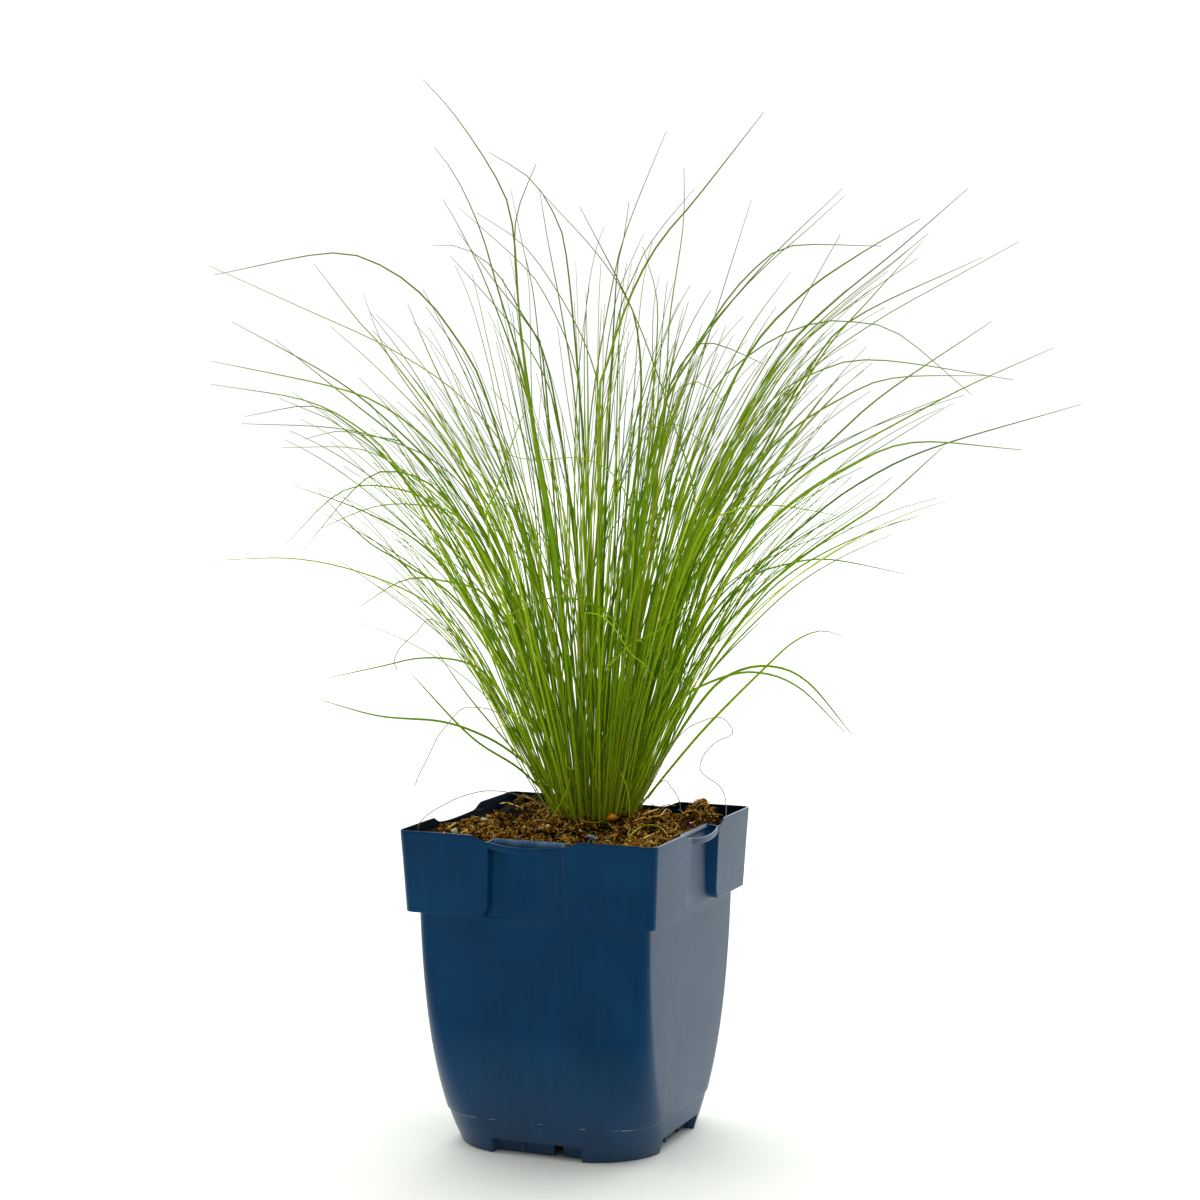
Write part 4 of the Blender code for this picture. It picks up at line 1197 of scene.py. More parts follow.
lengths = chance.lognormal(math.log(2.9), 0.5, FIBRE_COUNT).clip(1.2, 9) * MM
routes = lying_fibres(lengths, chance)
widths = chance.uniform(0.07, 0.19, FIBRE_COUNT) * MM
tones = tones_with_painted_shade(routes[:, 0], 0.3, 0.28, chance)
fibres = tubes("peat_fibres", routes, widths[:, None] * FIBRE_PROFILE, FIBRE_SIDES, tones)
as_piece(fibres, peat_fibre)

lengths = chance.uniform(2.5, 5.5, CHIP_COUNT) * MM
routes = lying_fibres(lengths, chance)
widths = chance.uniform(0.25, 0.5, CHIP_COUNT) * MM
tones = chance.normal(0.4, 0.25, CHIP_COUNT).clip(0.05, 0.9)
chip_radii = widths[:, None] * CHIP_PROFILE
chips = tubes("bark_and_straw", routes, chip_radii, STRAW_SIDES, tones, flatness=0.4)
as_piece(chips, peat_fibre)

# %% Lay the straws that the photo shows
# The width in millimetres, the tone, the lift off the ground in millimetres, and the photo's pixels
SEEN_STRAWS = (
    (0.9, 0.8, 1.4, ((643, 838), (650, 835), (659, 831))),
    (0.7, 0.7, 1.6, ((580, 820), (592, 822), (601, 821), (608, 818), (618, 817))),
    (0.8, 0.75, 2.0, ((634, 820), (643, 817), (652, 816), (660, 815), (664, 811), (667, 808), (672, 812))),
    (0.7, 0.8, 2.0, ((643, 814), (650, 811), (659, 808))),
    (0.6, 0.6, 1.6, ((650, 803), (658, 806), (668, 804), (676, 805))),
    (0.7, 0.8, 1.6, ((500, 803), (506, 802), (513, 804), (519, 806))),
    (1.0, 0.9, 1.4, ((448, 827), (452, 825), (456, 822))),
    (0.9, 0.85, 1.4, ((461, 833), (464, 831), (468, 828))),
    (0.6, 0.45, 1.2, ((484, 826), (489, 829), (487, 834))),
    (0.7, 0.7, 1.6, ((674, 830), (677, 826), (675, 822), (680, 827))),
    (0.5, 0.5, 1.6, ((535, 812), (533, 819), (538, 824))),
    (0.6, 0.6, 1.6, ((540, 809), (550, 808), (556, 812))),
    (0.5, 0.7, 1.6, ((684, 812), (692, 810), (699, 812), (701, 818))),
)
STRAW_POINTS = 16
STRAW_NARROWING = 0.45
STRAW_FLATNESS = 0.7


def ground_route(pixels, lift):
    """A smooth route through photo pixels, lying on the ground."""
    points = np.array([on_ground(across, down + LIFT_PIXELS * lift / MM) for across, down in pixels])
    points[:, 2] += lift
    return smooth_route(points, STRAW_POINTS)


def lay_straws(name, rows, material, fields=()):
    """Straws or threads along photo pixels."""
    routes = np.stack([ground_route(pixels, lift * MM) for _, _, lift, pixels in rows])
    profile = 1 - STRAW_NARROWING * np.linspace(-1, 1, STRAW_POINTS) ** 4
    radii = np.outer([width / 2 * MM for width, _, _, _ in rows], profile)
    tones = np.array([tone for _, tone, _, _ in rows])
    extra = {field_name: np.full(len(rows), value) for field_name, value in dict(fields).items()}
    as_piece(tubes(name, routes, radii, STRAW_SIDES, tones, STRAW_FLATNESS, extra), material)


print(len(SEEN_STRAWS), "straws are to be laid where the photo shows them")

# %% [markdown]
# ## Routes read from the photo
#
# The long leaves at the tuft's outline were read off the photo. Each row is one leaf: how far
# its tip lies behind the upright plane through the pot's axis, then its route in that plane from base
# to tip, as (across, height) pairs in millimetres. A point is then moved along its line of sight to its
# depth, so that from the camera it stays where it was read. The first rows are those of the solid
# leaves, which these thin ones stand for.

# %% The leaves that have a solid
SOLID_ROUTES = (
    (-20, ((2, 131), (-8, 225), (-17, 280), (-24, 330), (-27, 370), (-33, 389), (-50, 415), (-63, 429.5))),
    (25, ((0, 131), (-8, 212), (-17, 281), (-24, 315), (-33, 345),
          (-40, 369), (-49.5, 390), (-58.5, 402.5))),
    (-85, ((1, 132), (-7, 205), (-15, 265), (-22, 304), (-38, 348), (-49, 371), (-55.5, 382))),
    (120, ((5, 131), (4, 240), (2, 280), (-2, 315), (-15, 345), (-27, 359), (-49, 378.5))),
    (45, ((6, 131), (4, 240), (1, 290), (-5, 356), (-10, 375), (-20, 390), (-36.5, 400.5))),
    (-105, ((0, 132), (-10, 235), (-19, 288), (-24, 330), (-26.3, 369), (-21, 388), (-17.5, 396))),
    (80, ((3, 132), (-7, 240), (-14, 298), (-18.5, 342), (-23, 363), (-27.8, 386))),
    (-55, ((3, 132), (-1, 230), (-12, 310), (-24.5, 337.5), (-35.5, 354.5), (-48, 362.5), (-59.5, 363.3))),
    (105, ((4, 131), (-2, 240), (-10, 297), (-20.5, 321.5), (-33.5, 338), (-52.4, 359))),
    (-35, ((-2, 131), (-11, 205), (-29, 276), (-43.5, 297), (-58, 310),
           (-81.5, 324), (-109, 336.5), (-150, 355))),
    (30, ((-1, 131), (-12, 205), (-37, 299), (-51, 327), (-65.7, 345),
          (-83.5, 356.5), (-103, 360), (-148, 351.3))),
    (-45, ((-3, 131), (-18, 190), (-34, 245), (-49, 279.5), (-79.5, 321.3), (-90, 333), (-107.5, 355.7))),
    (100, ((-3, 133), (-30, 232), (-57, 287), (-73, 311), (-81, 325.6), (-87.7, 344))),
    (-125, ((-3, 132), (-18, 200), (-33, 252), (-47.8, 290.3), (-61, 319), (-69.8, 339.8))),
    (5, ((-4, 132), (-16, 190), (-34, 237), (-53.5, 267), (-74, 288.5), (-99, 309), (-141, 332.5))),
    (80, ((-5, 133), (-22, 205), (-46, 248), (-69, 280), (-93.7, 301), (-123.7, 325.3))),
    (74, ((-5, 133), (-18, 195), (-36, 247), (-55.4, 277.4), (-77, 296.5), (-99, 305.8), (-149.7, 316.6))),
    (-20, ((-6, 133), (-26, 178), (-48, 225), (-75, 274), (-90, 289.5), (-112, 300.7), (-149.8, 307.2))),
    (-55, ((-6, 133), (-30, 195), (-55, 245), (-78, 276), (-94.6, 291.2),
           (-109.5, 298.4), (-136.3, 294.1))),
    (56, ((-5, 133), (-20, 205), (-42, 257), (-59, 275.7), (-79.6, 285), (-102, 289.7), (-137.6, 291.2))),
    (-112, ((-6, 134), (-17, 175), (-36, 230), (-50.7, 254), (-70.3, 271), (-90, 281), (-121, 281.5))),
    (-35, ((-5, 133), (-23, 197), (-42, 240), (-57.5, 263.5), (-74.4, 271.6),
           (-89.4, 267), (-114.2, 238.2))),
    (10, ((-6, 133), (-25, 198), (-44, 239), (-60, 259), (-82.8, 266), (-99.7, 262), (-120.4, 241.7))),
    (-72, ((-7, 137), (-28, 188), (-48, 223), (-66, 243), (-89.3, 256), (-118.8, 266.8))),
    (35, ((-8, 137), (-24, 177), (-49, 217.5), (-71.6, 234), (-87.4, 243.8), (-107, 264))),
    (-40, ((-8, 133), (-26, 168), (-44.6, 200.8), (-63, 218.6), (-89, 230.3),
           (-117, 236.2), (-149.7, 235.5))),
    (120, ((-5, 135), (-16, 188), (-36.5, 219.5), (-56, 227.1), (-72, 227.3), (-90.3, 216.3))),
    (-75, ((-6, 132), (-24, 166), (-42, 196), (-61.8, 211.5))),
    (-8, ((-8, 133), (-26, 168), (-38, 188), (-50, 194.3), (-66, 195.2), (-81, 192), (-104, 187))),
    (-35, ((-9, 134), (-25, 149.5), (-45, 163), (-69.8, 189.5))),
    (30, ((-10, 141), (-24.5, 153.5), (-38, 162.4), (-56.5, 169), (-82.5, 171.4), (-107, 178.2))),
    (0, ((7.5, 131), (7, 160), (4.5, 240), (4, 290), (13.7, 349.5), (20.5, 373.5), (35, 409))),
    (-80, ((8, 131), (8, 295), (12, 318), (21, 343.7), (32, 364), (47.5, 382.5), (74.2, 416.5))),
    (-80, ((12, 135), (15, 170), (27, 255), (34.5, 300), (36.6, 334), (41.9, 371), (42.2, 394.3))),
    (110, ((12, 133), (22, 200), (36, 265), (47, 308), (54, 332), (69.5, 381.5))),
    (65, ((14, 133), (22, 215), (34, 297), (46.5, 322), (61.3, 340.3), (79, 360), (106.7, 386.4))),
    (-30, ((13, 133), (20, 215), (32, 290), (45.8, 319), (60.6, 342.5),
           (74.5, 357), (87, 363.3), (122.5, 363))),
    (-95, ((17, 133), (30, 190), (50, 262), (68, 302), (81.8, 325.4), (105.6, 367.6))),
    (-110, ((10, 131), (15, 190), (22, 262), (25, 302), (23.3, 329.5), (18.2, 344), (0, 379))),
    (-4, ((21, 133), (36, 175), (46, 235), (47, 260), (40.5, 284.5), (17, 345.7), (-20.3, 390))),
    (85, ((17, 133), (30, 210), (48, 283), (66, 324.6), (85.5, 352.7))),
    (10, ((16, 133), (26, 183), (41, 232), (60, 280), (80.7, 317.3),
          (102, 339.5), (129, 361.7), (157.2, 386.2))),
    (-80, ((15, 133), (30, 215), (50, 280), (69, 320), (89.5, 342.8), (111.5, 358.5), (137.8, 374))),
    (60, ((18, 133), (34, 185), (56, 240), (80, 286.7), (100, 321), (118.5, 342.4), (139, 365))),
    (85, ((18, 133), (32, 177), (56, 242), (76, 283), (97, 319), (114.7, 335.8), (163.8, 358.7))),
    (-25, ((16, 133), (32, 250), (52, 301), (72.6, 321.6), (93.7, 331.5),
           (111, 332.5), (129.8, 327.5), (159.5, 303))),
    (-60, ((18, 137), (34, 208), (56, 266), (76.5, 299), (97.7, 312.7), (121.7, 317), (176.5, 309))),
    (30, ((19, 137), (35, 203), (57, 255), (82, 285), (107, 301.7), (128, 309.8), (167, 310.7))),
    (-13, ((19, 133), (35, 183), (58, 234), (80, 262), (104.4, 286), (125.4, 304.3), (167.3, 332.6))),
    (48, ((20, 135), (40, 195), (63, 241), (91, 270), (124.5, 288.8), (157, 306), (192.8, 322))),
    (68, ((22, 137), (40, 185), (64.7, 224), (94, 252), (116, 268), (144.5, 281.5), (204.3, 299))),
    (-40, ((20, 135), (36, 178), (59, 226), (80, 253), (107.8, 272.3), (135.7, 283.5), (180.5, 280.5))),
    (-20, ((21, 135), (37, 173), (57.6, 206), (81, 228.7), (102, 244.7), (123, 259), (148.5, 282))),
    (25, ((21, 135), (28, 158), (48, 204), (67.8, 227), (85.7, 234), (103.6, 235.6), (135.2, 229.3))),
    (-40, ((22, 134), (34, 153), (47, 173.4), (60, 187.4), (76.5, 191.9), (93, 185.7), (112, 163.5))),
    (-70, ((20, 134), (26, 148), (40, 176), (57, 186.6), (73, 189.2), (90, 183), (109.2, 164.3))),
    (45, ((28, 138), (50.6, 165.3), (77, 192.2), (88, 202), (98.7, 206.4), (108.5, 204))),
)
SOLID_COUNT = len(SOLID_ROUTES)
print(SOLID_COUNT, "leaves have a solid")

# %% More leaves that were read from the photo
FINE_ROUTES = (
    (-30, ((7, 131), (8.5, 250), (8, 300), (4, 319), (-5, 338), (-17.7, 357.5), (-27, 367), (-42, 376.5))),
    (0, ((6, 132), (2, 250), (-2.5, 305), (-8, 340), (-13, 366), (-16.2, 386))),
    (-50, ((0, 131), (-9, 240), (-15, 318), (-21.5, 332), (-34.7, 349), (-49.7, 369.5))),
    (75, ((-1, 132), (-22, 240), (-38, 292), (-47.2, 316.6), (-62.3, 338.5))),
    (20, ((-4, 132), (-25, 215), (-42, 262), (-60, 299.5), (-70.5, 317), (-85.3, 336.7))),
    (25, ((-5, 134), (-28, 210), (-50, 256), (-71, 282.3), (-84, 285.7), (-97.5, 288.2), (-112.3, 284.8))),
    (60, ((-6, 133), (-18, 190), (-34, 228), (-49, 252.5), (-65, 258), (-83.7, 257.4), (-105.7, 248.7))),
    (40, ((-9, 136), (-24, 153.5), (-45, 178.5), (-60, 200))),
    (40, ((9, 131), (9, 250), (14, 325), (22.5, 352.3), (31, 367.5), (46.5, 386))),
    (30, ((6, 131), (4, 230), (2, 300), (2.4, 335), (5.7, 358), (9.7, 370.5))),
    (-45, ((12, 132), (19, 200), (21.7, 250.5), (13.5, 270.5), (0, 277.3), (-17.5, 276.3), (-30, 279),
           (-48, 288.5))),
    (95, ((20, 134), (45, 205), (70, 243), (92, 263.5), (119.4, 279.5), (152.2, 299.7))),
    (60, ((21, 135), (45, 195), (66, 224), (89.6, 244.2), (109, 255.3), (127.4, 269.3))),
    (-75, ((19, 134), (30, 190), (48, 244), (60.6, 255), (77, 258), (94.3, 255.8), (105.6, 253.5))),
    (-40, ((22, 136), (40, 170), (55.7, 191.8), (74, 210.3))),
    (-90, ((12, 133), (25, 230), (37, 300), (46.5, 322.3), (57, 323), (74.5, 315.5))),
    (50, ((5, 132), (7, 230), (9.5, 305), (14.5, 340), (20.5, 356), (26, 368))),
    (-15, ((7, 132), (10, 240), (14.6, 345), (18.2, 367.5), (20, 381))),
    (72, ((14, 133), (22, 212), (33, 292), (46, 319), (62, 341), (77, 356.5), (91, 368.5), (107, 383))),
    (-60, ((14, 133), (24, 230), (30, 305), (31.2, 322.5), (31.7, 334), (31, 345), (29, 351.5), (25.5, 363))),
    (-70, ((13, 132), (28, 240), (38, 300), (41, 306), (45.7, 308), (49.5, 307.8), (54, 305), (58, 300.5))),
    (-55, ((10, 132), (19, 220), (25, 275), (27, 285), (31, 290), (37, 291), (42, 290), (50, 283))),
    (-95, ((-4, 132), (-28, 210), (-38, 250), (-36, 259.5), (-32.5, 268.5), (-27.5, 283.5), (-22, 297))),
    (90, ((-5, 133), (-40, 225), (-72, 270), (-98.3, 290.7), (-109.5, 296.2), (-122, 301.4))),
)
# Root threads and pale curly threads: the tip's depth, and the route
THREAD_ROUTES = (
    (-20, ((24, 134), (30, 147), (36, 157), (43.8, 165.8), (50.5, 169.2), (56.4, 170.8), (59.8, 169.6),
           (62.7, 165.8), (62.3, 163.3), (56.4, 160.8), (51.4, 155.7), (49.3, 149.9), (51.4, 146.5),
           (56.4, 143.2), (59.4, 139), (60.3, 133), (60, 129))),
    (-30, ((-12, 133), (-16, 135), (-22, 137.5), (-30, 139.8), (-37, 140.3), (-42, 139.8), (-50, 137.5),
           (-56, 134.5), (-62, 131), (-66, 127), (-67, 123))),
    (-20, ((-46, 199), (-54, 207), (-61.5, 211.3), (-66.6, 206.2), (-71.3, 202), (-74.7, 198), (-76, 193.8),
           (-75, 190.5))),
    (-30, ((-31, 171), (-37, 174), (-44.3, 175), (-48.3, 174.3), (-51.7, 171.2), (-54.4, 167.8),
           (-57.8, 163.7), (-60.6, 158.2), (-64, 151.3), (-66.7, 146), (-67.7, 142.8))),
    (30, ((28, 137), (33, 143.5), (35.6, 144.3), (37.3, 142), (39.6, 139), (41, 136), (41.6, 132.5))),
    (44, ((-17.9, 141.4), (-18.7, 137.7), (-20.4, 134))),
)
# Thin green leaves and curls that cross in front of the tuft
CROSSING_ROUTES = (
    (-38, ((-30, 212), (-20, 218), (-9.8, 220), (-2.3, 219.6), (4.4, 217.5), (9.5, 215), (16, 208),
           (20.4, 200), (22, 188))),
    (-42, ((10, 190), (17, 199), (24.5, 202), (29.6, 199.4), (36.3, 191), (41.3, 186), (46, 183))),
    (-34, ((2, 214), (8, 213), (13, 209), (17, 203), (21, 197), (27, 192), (31, 186))),
    (-30, ((12, 192), (20, 200), (27, 204), (33, 207), (38, 211), (43, 216), (50, 222))),
    (-14, ((-4, 145), (-6.5, 138), (-10, 131.5), (-14, 126.5))),
    (-9, ((16.8, 148), (19.6, 140.6), (20.4, 132.3), (20, 126))),
    (-26, ((-32, 176), (-29, 172), (-26, 170), (-23, 173), (-27, 178), (-30, 184), (-26, 187))),
    (-28, ((-35, 166), (-31, 168), (-28, 172), (-24, 171), (-19, 166))),
    (-18, ((-5, 150), (-3, 149), (-1, 151), (1, 153))),
    (-30, ((8, 180), (12, 190), (16, 196), (21, 198), (25, 195))),
)
print(len(FINE_ROUTES), "finer leaves were read too, and", len(THREAD_ROUTES), "threads")

# %% Turn the read routes into points in space
START_DEPTH = 10 * MM
START_SHARE = 0.15
DEPTH_POWER = 1.3
# The points were read with a slightly shorter lens in mind, and this brings them to the final one
READ_SCALE = 1.01
READ_SHIFT = 0.4 * MM
READ_MIDDLE = 219.1 * MM
ROOT = 6 * MM
STEPS_BETWEEN = 16


def smooth_route(points, count, part=1.0):
    """Evenly spaced points on a smooth curve through the given ones, or on the first part of it."""
    points = np.asarray(points, float)
    ends = np.vstack([2 * points[0] - points[1], points, 2 * points[-1] - points[-2]])
    t = np.linspace(0, 1, STEPS_BETWEEN, endpoint=False)[:, None]
    fine = []
    for before, start, end, after in zip(ends, ends[1:], ends[2:], ends[3:]):
        bend = 2 * start + (end - before) * t
        bend = bend + (2 * before - 5 * start + 4 * end - after) * t ** 2
        bend = bend + (3 * start - before - 3 * end + after) * t ** 3
        fine.append(bend / 2)
    fine = np.vstack([*fine, points[-1:]])
    travelled = np.concatenate([[0], np.cumsum(np.linalg.norm(np.diff(fine, axis=0), axis=1))])
    wanted = np.linspace(0, travelled[-1] * part, count)
    return np.stack([np.interp(wanted, travelled, column) for column in fine.T], axis=1)


def seen_points(across, height, depth):
    """Points of the upright plane, moved along their lines of sight to their depths."""
    across = across / READ_SCALE + READ_SHIFT
    height = READ_MIDDLE + (height - READ_MIDDLE) / READ_SCALE
    stretch = (1 + depth / VIEW_DISTANCE)[:, None]
    places = RIGHT * across[:, None] * stretch + AWAY * depth[:, None]
    places[:, 2] = EYE_HEIGHT + (height - EYE_HEIGHT) * stretch[:, 0]
    return places


def rooted(pairs):
    """A route's pairs with one more point in front, so that the leaf starts inside the soil."""
    pairs = np.asarray(pairs, float)
    down = pairs[0] - pairs[1]
    return np.vstack([pairs[0] + down / np.linalg.norm(down) * ROOT, pairs])


def read_route(row, count, with_root=True):
    """One read row as points in space, its depth growing from the crown to the tip."""
    tip_depth, pairs = row[0] * MM, np.array(row[1]) * MM
    flat = smooth_route(rooted(pairs) if with_root else pairs, count)
    start_depth = START_DEPTH + START_SHARE * tip_depth if with_root else tip_depth
    depth = start_depth + (tip_depth - start_depth) * np.linspace(0, 1, count) ** DEPTH_POWER
    return seen_points(flat[:, 0], flat[:, 1], depth)


print("the first leaf ends at", read_route(SOLID_ROUTES[0], 2)[-1].round(3))

# %% [markdown]
# ## The leaves' colour
#
# A feather grass leaf is a blade rolled into a thread. It is yellowish at the very foot, fresh green above,
# and pale grey-green at its dry tip. The foot is also painted lighter, as painted light against the tuft's
# own shade. Some leaves are yellower than others, and a few are dead and straw-coloured. Each leaf
# brings its own tone, its dryness and the share along its length, and a noise stretched along it gives
# the fine streaks between its veins. What little it mirrors is tinted green, because the wax on the blade
# is thin.

# %% The grass material
VEIN = 0.35 * MM
VEIN_STRETCH = 0.05
VEIN_DEPTH = 0.03 * MM
VEIN_CONTRAST = (0.7, -0.35)
GREENS = ((0.05, "#527608"), (0.4, "#80a60c"), (0.7, "#a6c01a"), (1.0, "#d2dc56"))
FOOT_COLOUR_WITH_PAINTED_LIGHT = "#a9b024"
TIP_COLOUR = "#5f6b1c"
STRAW_COLOUR = "#b08e2c"
# From where to where a colour comes in, and how strong it is at each end
PAINTED_LIGHT_FOOT_FADE = (0, 0.2, 0.65, 0)
TIP_FADE = (0.75, 1, 0, 0.6)
TOP_FADE = (250 * MM, 390 * MM, 0, 0.75)
WAX_TINT = (0.55, 0.8, 0.15, 1)

fresh_grass = new_material("fresh_grass_blade")
place = object_place(fresh_grass)
veins = noise_at(fresh_grass, drawn_up(fresh_grass, place, VEIN_STRETCH), VEIN, 2)
streak = calculated(fresh_grass, "MULTIPLY_ADD", veins, *VEIN_CONTRAST)
green_share = calculated(fresh_grass, "ADD", field(fresh_grass, "tone"), streak)
green = colour_steps(fresh_grass, green_share, GREENS)
along = field(fresh_grass, "along")
# Painted light: the foot's yellow is paler than its own colour, to lighten the tuft's shade there
foot = rescaled(fresh_grass, along, *PAINTED_LIGHT_FOOT_FADE)
tip = rescaled(fresh_grass, along, *TIP_FADE)
top = rescaled(fresh_grass, height_of(fresh_grass, place), *TOP_FADE)
with_lit_foot = blended(fresh_grass, foot, green, FOOT_COLOUR_WITH_PAINTED_LIGHT)
with_tip = blended(fresh_grass, calculated(fresh_grass, "MAXIMUM", tip, top), with_lit_foot, TIP_COLOUR)
surface(
    fresh_grass,
    Base_Color=blended(fresh_grass, field(fresh_grass, "dry"), with_tip, STRAW_COLOUR),
    Roughness=0.55,
    Specular_IOR_Level=0.12,
    Specular_Tint=WAX_TINT,
    Normal=bumped(fresh_grass, veins, VEIN_DEPTH, 0.5),
)
print("veins", VEIN / MM, "mm apart")

# %% Make the leaves that were read from the photo
LEAF_POINTS = 34
LEAF_SIDES = 5
LEAF_FLATNESS = 0.6
THIN_SHARE = 0.15
THIN_WIDTH = 0.6
DRYNESS = (0.3, 0.8)
TIP_RADIUS = 0.12 * MM
TAPER_POWER = 3.6
# The middle and spread of the leaves' tones: those that stand out alone look deeper than the tuft's
MIXED_GREENS = (0.4, 0.26)
DEEP_GREENS = (0.3, 0.16)
FOOT_NARROWING = 0.22
FOOT_END = 0.35


def blade_radii(base, count):
    """A blade is a little narrower at its foot, keeps its width for long and then tapers to a hair."""
    share = np.linspace(0, 1, count)
    tapering = base[:, None] + (TIP_RADIUS - base)[:, None] * share[None] ** TAPER_POWER
    return tapering * (1 - FOOT_NARROWING * (1 - share / FOOT_END).clip(0, 1))


def leaf_mesh(name, routes, widths, chance, dry_share, replaced=(), greens=MIXED_GREENS):
    """Blades along routes, each with its own width within a range in millimetres, tone and dryness."""
    count = len(routes)
    base = chance.uniform(*widths, count) / 2 * MM
    base = np.where(chance.random(count) < THIN_SHARE, base * THIN_WIDTH, base)
    radii = blade_radii(base, routes.shape[1])
    tones = chance.normal(*greens, count).clip(0.0, 1.0)
    dry = np.where(chance.random(count) < dry_share, chance.uniform(*DRYNESS, count), 0)
    blades = tubes(name, routes, radii, LEAF_SIDES, tones, LEAF_FLATNESS, {"dry": dry})
    as_piece(blades, fresh_grass, replaced)


chance = np.random.default_rng(23)
solid_leaves = [f"leaf_{number:02d}" for number in range(1, SOLID_COUNT + 1)]
read = np.stack([read_route(row, LEAF_POINTS) for row in SOLID_ROUTES])
leaf_mesh("outline_leaves", read, (1.1, 1.4), chance, 0.03, replaced=solid_leaves, greens=DEEP_GREENS)
fine = np.stack([read_route(row, LEAF_POINTS) for row in FINE_ROUTES])
leaf_mesh("fine_outline_leaves", fine, (0.85, 1.15), chance, 0.05, greens=DEEP_GREENS)
crossing = np.stack([read_route(row, LEAF_POINTS, with_root=False) for row in CROSSING_ROUTES])
leaf_mesh("crossing_leaves", crossing, (0.55, 0.75), chance, 0.0)

# %% [markdown]
# ## The bundles of the tuft
#
# The tuft's several hundred inner leaves stand in shoots, each a sheaf of leaves that share a place and a
# lean, so there are dense bundles and gaps between them. The middle line of each bundle was read off the
# photo like the long leaves, and its leaves are spread about it: a little at the foot, more
# towards the tips. A leaf that starts on one side of its bundle often ends on the other, so the leaves
# cross at small angles, and each sways and droops its own way. The same spread goes forwards and back, so
# the tuft is as full from its other sides.

# %% The middle lines of the bundles
# How many leaves, the spread at the foot and at the top in millimetres, and the route
BUNDLES = (
    (16, 1.8, 6, ((-10, 133), (-18.5, 150), (-28, 170), (-38, 190), (-49, 210), (-62, 230), (-76, 250),
                  (-92, 268))),
    (17, 1.8, 6, ((-9, 133), (-20, 165), (-30, 195), (-40, 220), (-50, 243), (-60, 262), (-72, 283),
                  (-84, 300), (-100, 318))),
    (32, 2.2, 7, ((-7, 133), (-12.5, 160), (-17, 180), (-20.5, 195), (-24, 210), (-28, 220), (-36, 240),
                  (-47, 260), (-58, 280), (-72, 300), (-88, 318))),
    (25, 2.2, 9, ((-5, 132), (-13, 180), (-19, 210), (-24, 240), (-31, 262), (-42, 285), (-50, 300),
                  (-62, 322), (-76, 342))),
    (20, 2.2, 6, ((-3, 132), (-5, 160), (-8, 180), (-10, 200), (-12, 220), (-13, 240), (-14.5, 255),
                  (-17, 275), (-20, 295), (-24, 325), (-28, 350), (-35, 376))),
    (17, 2.2, 6, ((0, 131), (-2, 170), (-3.5, 200), (-4.5, 220), (-5, 240), (-6.5, 260), (-9, 280),
                  (-13, 305), (-18, 340))),
    (36, 2.8, 5, ((4, 130), (4, 160), (3, 180), (2.5, 200), (2, 220), (2, 240), (2.5, 260), (3.5, 280),
                  (4, 300), (5, 340), (7, 374))),
    (22, 2.4, 5, ((8, 130), (10, 160), (12, 180), (13, 200), (15, 220), (16.5, 240), (18, 260), (20, 300),
                  (23, 345), (29, 376))),
    (22, 2.4, 6, ((11, 131), (13, 170), (17, 215), (21, 240), (24, 265), (28, 290), (35, 325), (44, 358))),
    (24, 2.4, 7, ((13, 131), (16, 160), (20, 190), (22.5, 210), (25, 230), (27.5, 255), (31, 285),
                  (38, 330), (47, 362))),
    (24, 2.4, 6, ((14, 131), (19, 165), (26, 200), (31, 225), (36, 250), (41, 272), (48, 295), (60, 325),
                  (76, 352))),
    (32, 2.6, 7, ((16, 131), (22, 160), (28, 185), (33, 210), (38.5, 230), (45, 250), (51, 265), (57, 278),
                  (66, 292), (80, 315), (98, 341))),
    (30, 2.4, 8, ((19, 132), (29, 165), (38, 195), (44, 215), (50, 235), (57, 250), (66, 268), (78, 290),
                  (92, 312), (112, 336))),
    (17, 2.0, 7, ((21, 133), (25.5, 142), (33, 160), (41, 180), (49, 198), (57.5, 215), (68, 235), (82, 255),
                  (98, 275), (118, 294))),
    (20, 1.8, 4, ((16, 133), (26, 183), (41, 232), (60, 280), (80.7, 317.3), (102, 339.5), (129, 361.7),
                  (157.2, 386.2))),
)
START_DEPTHS = (12 * MM, 7.5 * MM)
DEPTH_LEAN = 2.6
DEPTH_SCATTER = 20 * MM
DEPTH_LIMIT = 1.9
PARTS = (0.58, 1.0)
SIDE_KEPT = 0.2
SPREAD_LIMIT = 1.8
SPREAD_POWER = 1.2
SWAY = 2.6 * MM
WAVES = (1.2, 2.4)
DROOP = 20 * MM
DROOP_POWER = 2.8
MOST_DROOP = 3
LEAN_POWER = 1.25
UNSURE_SIDE = 14 * MM


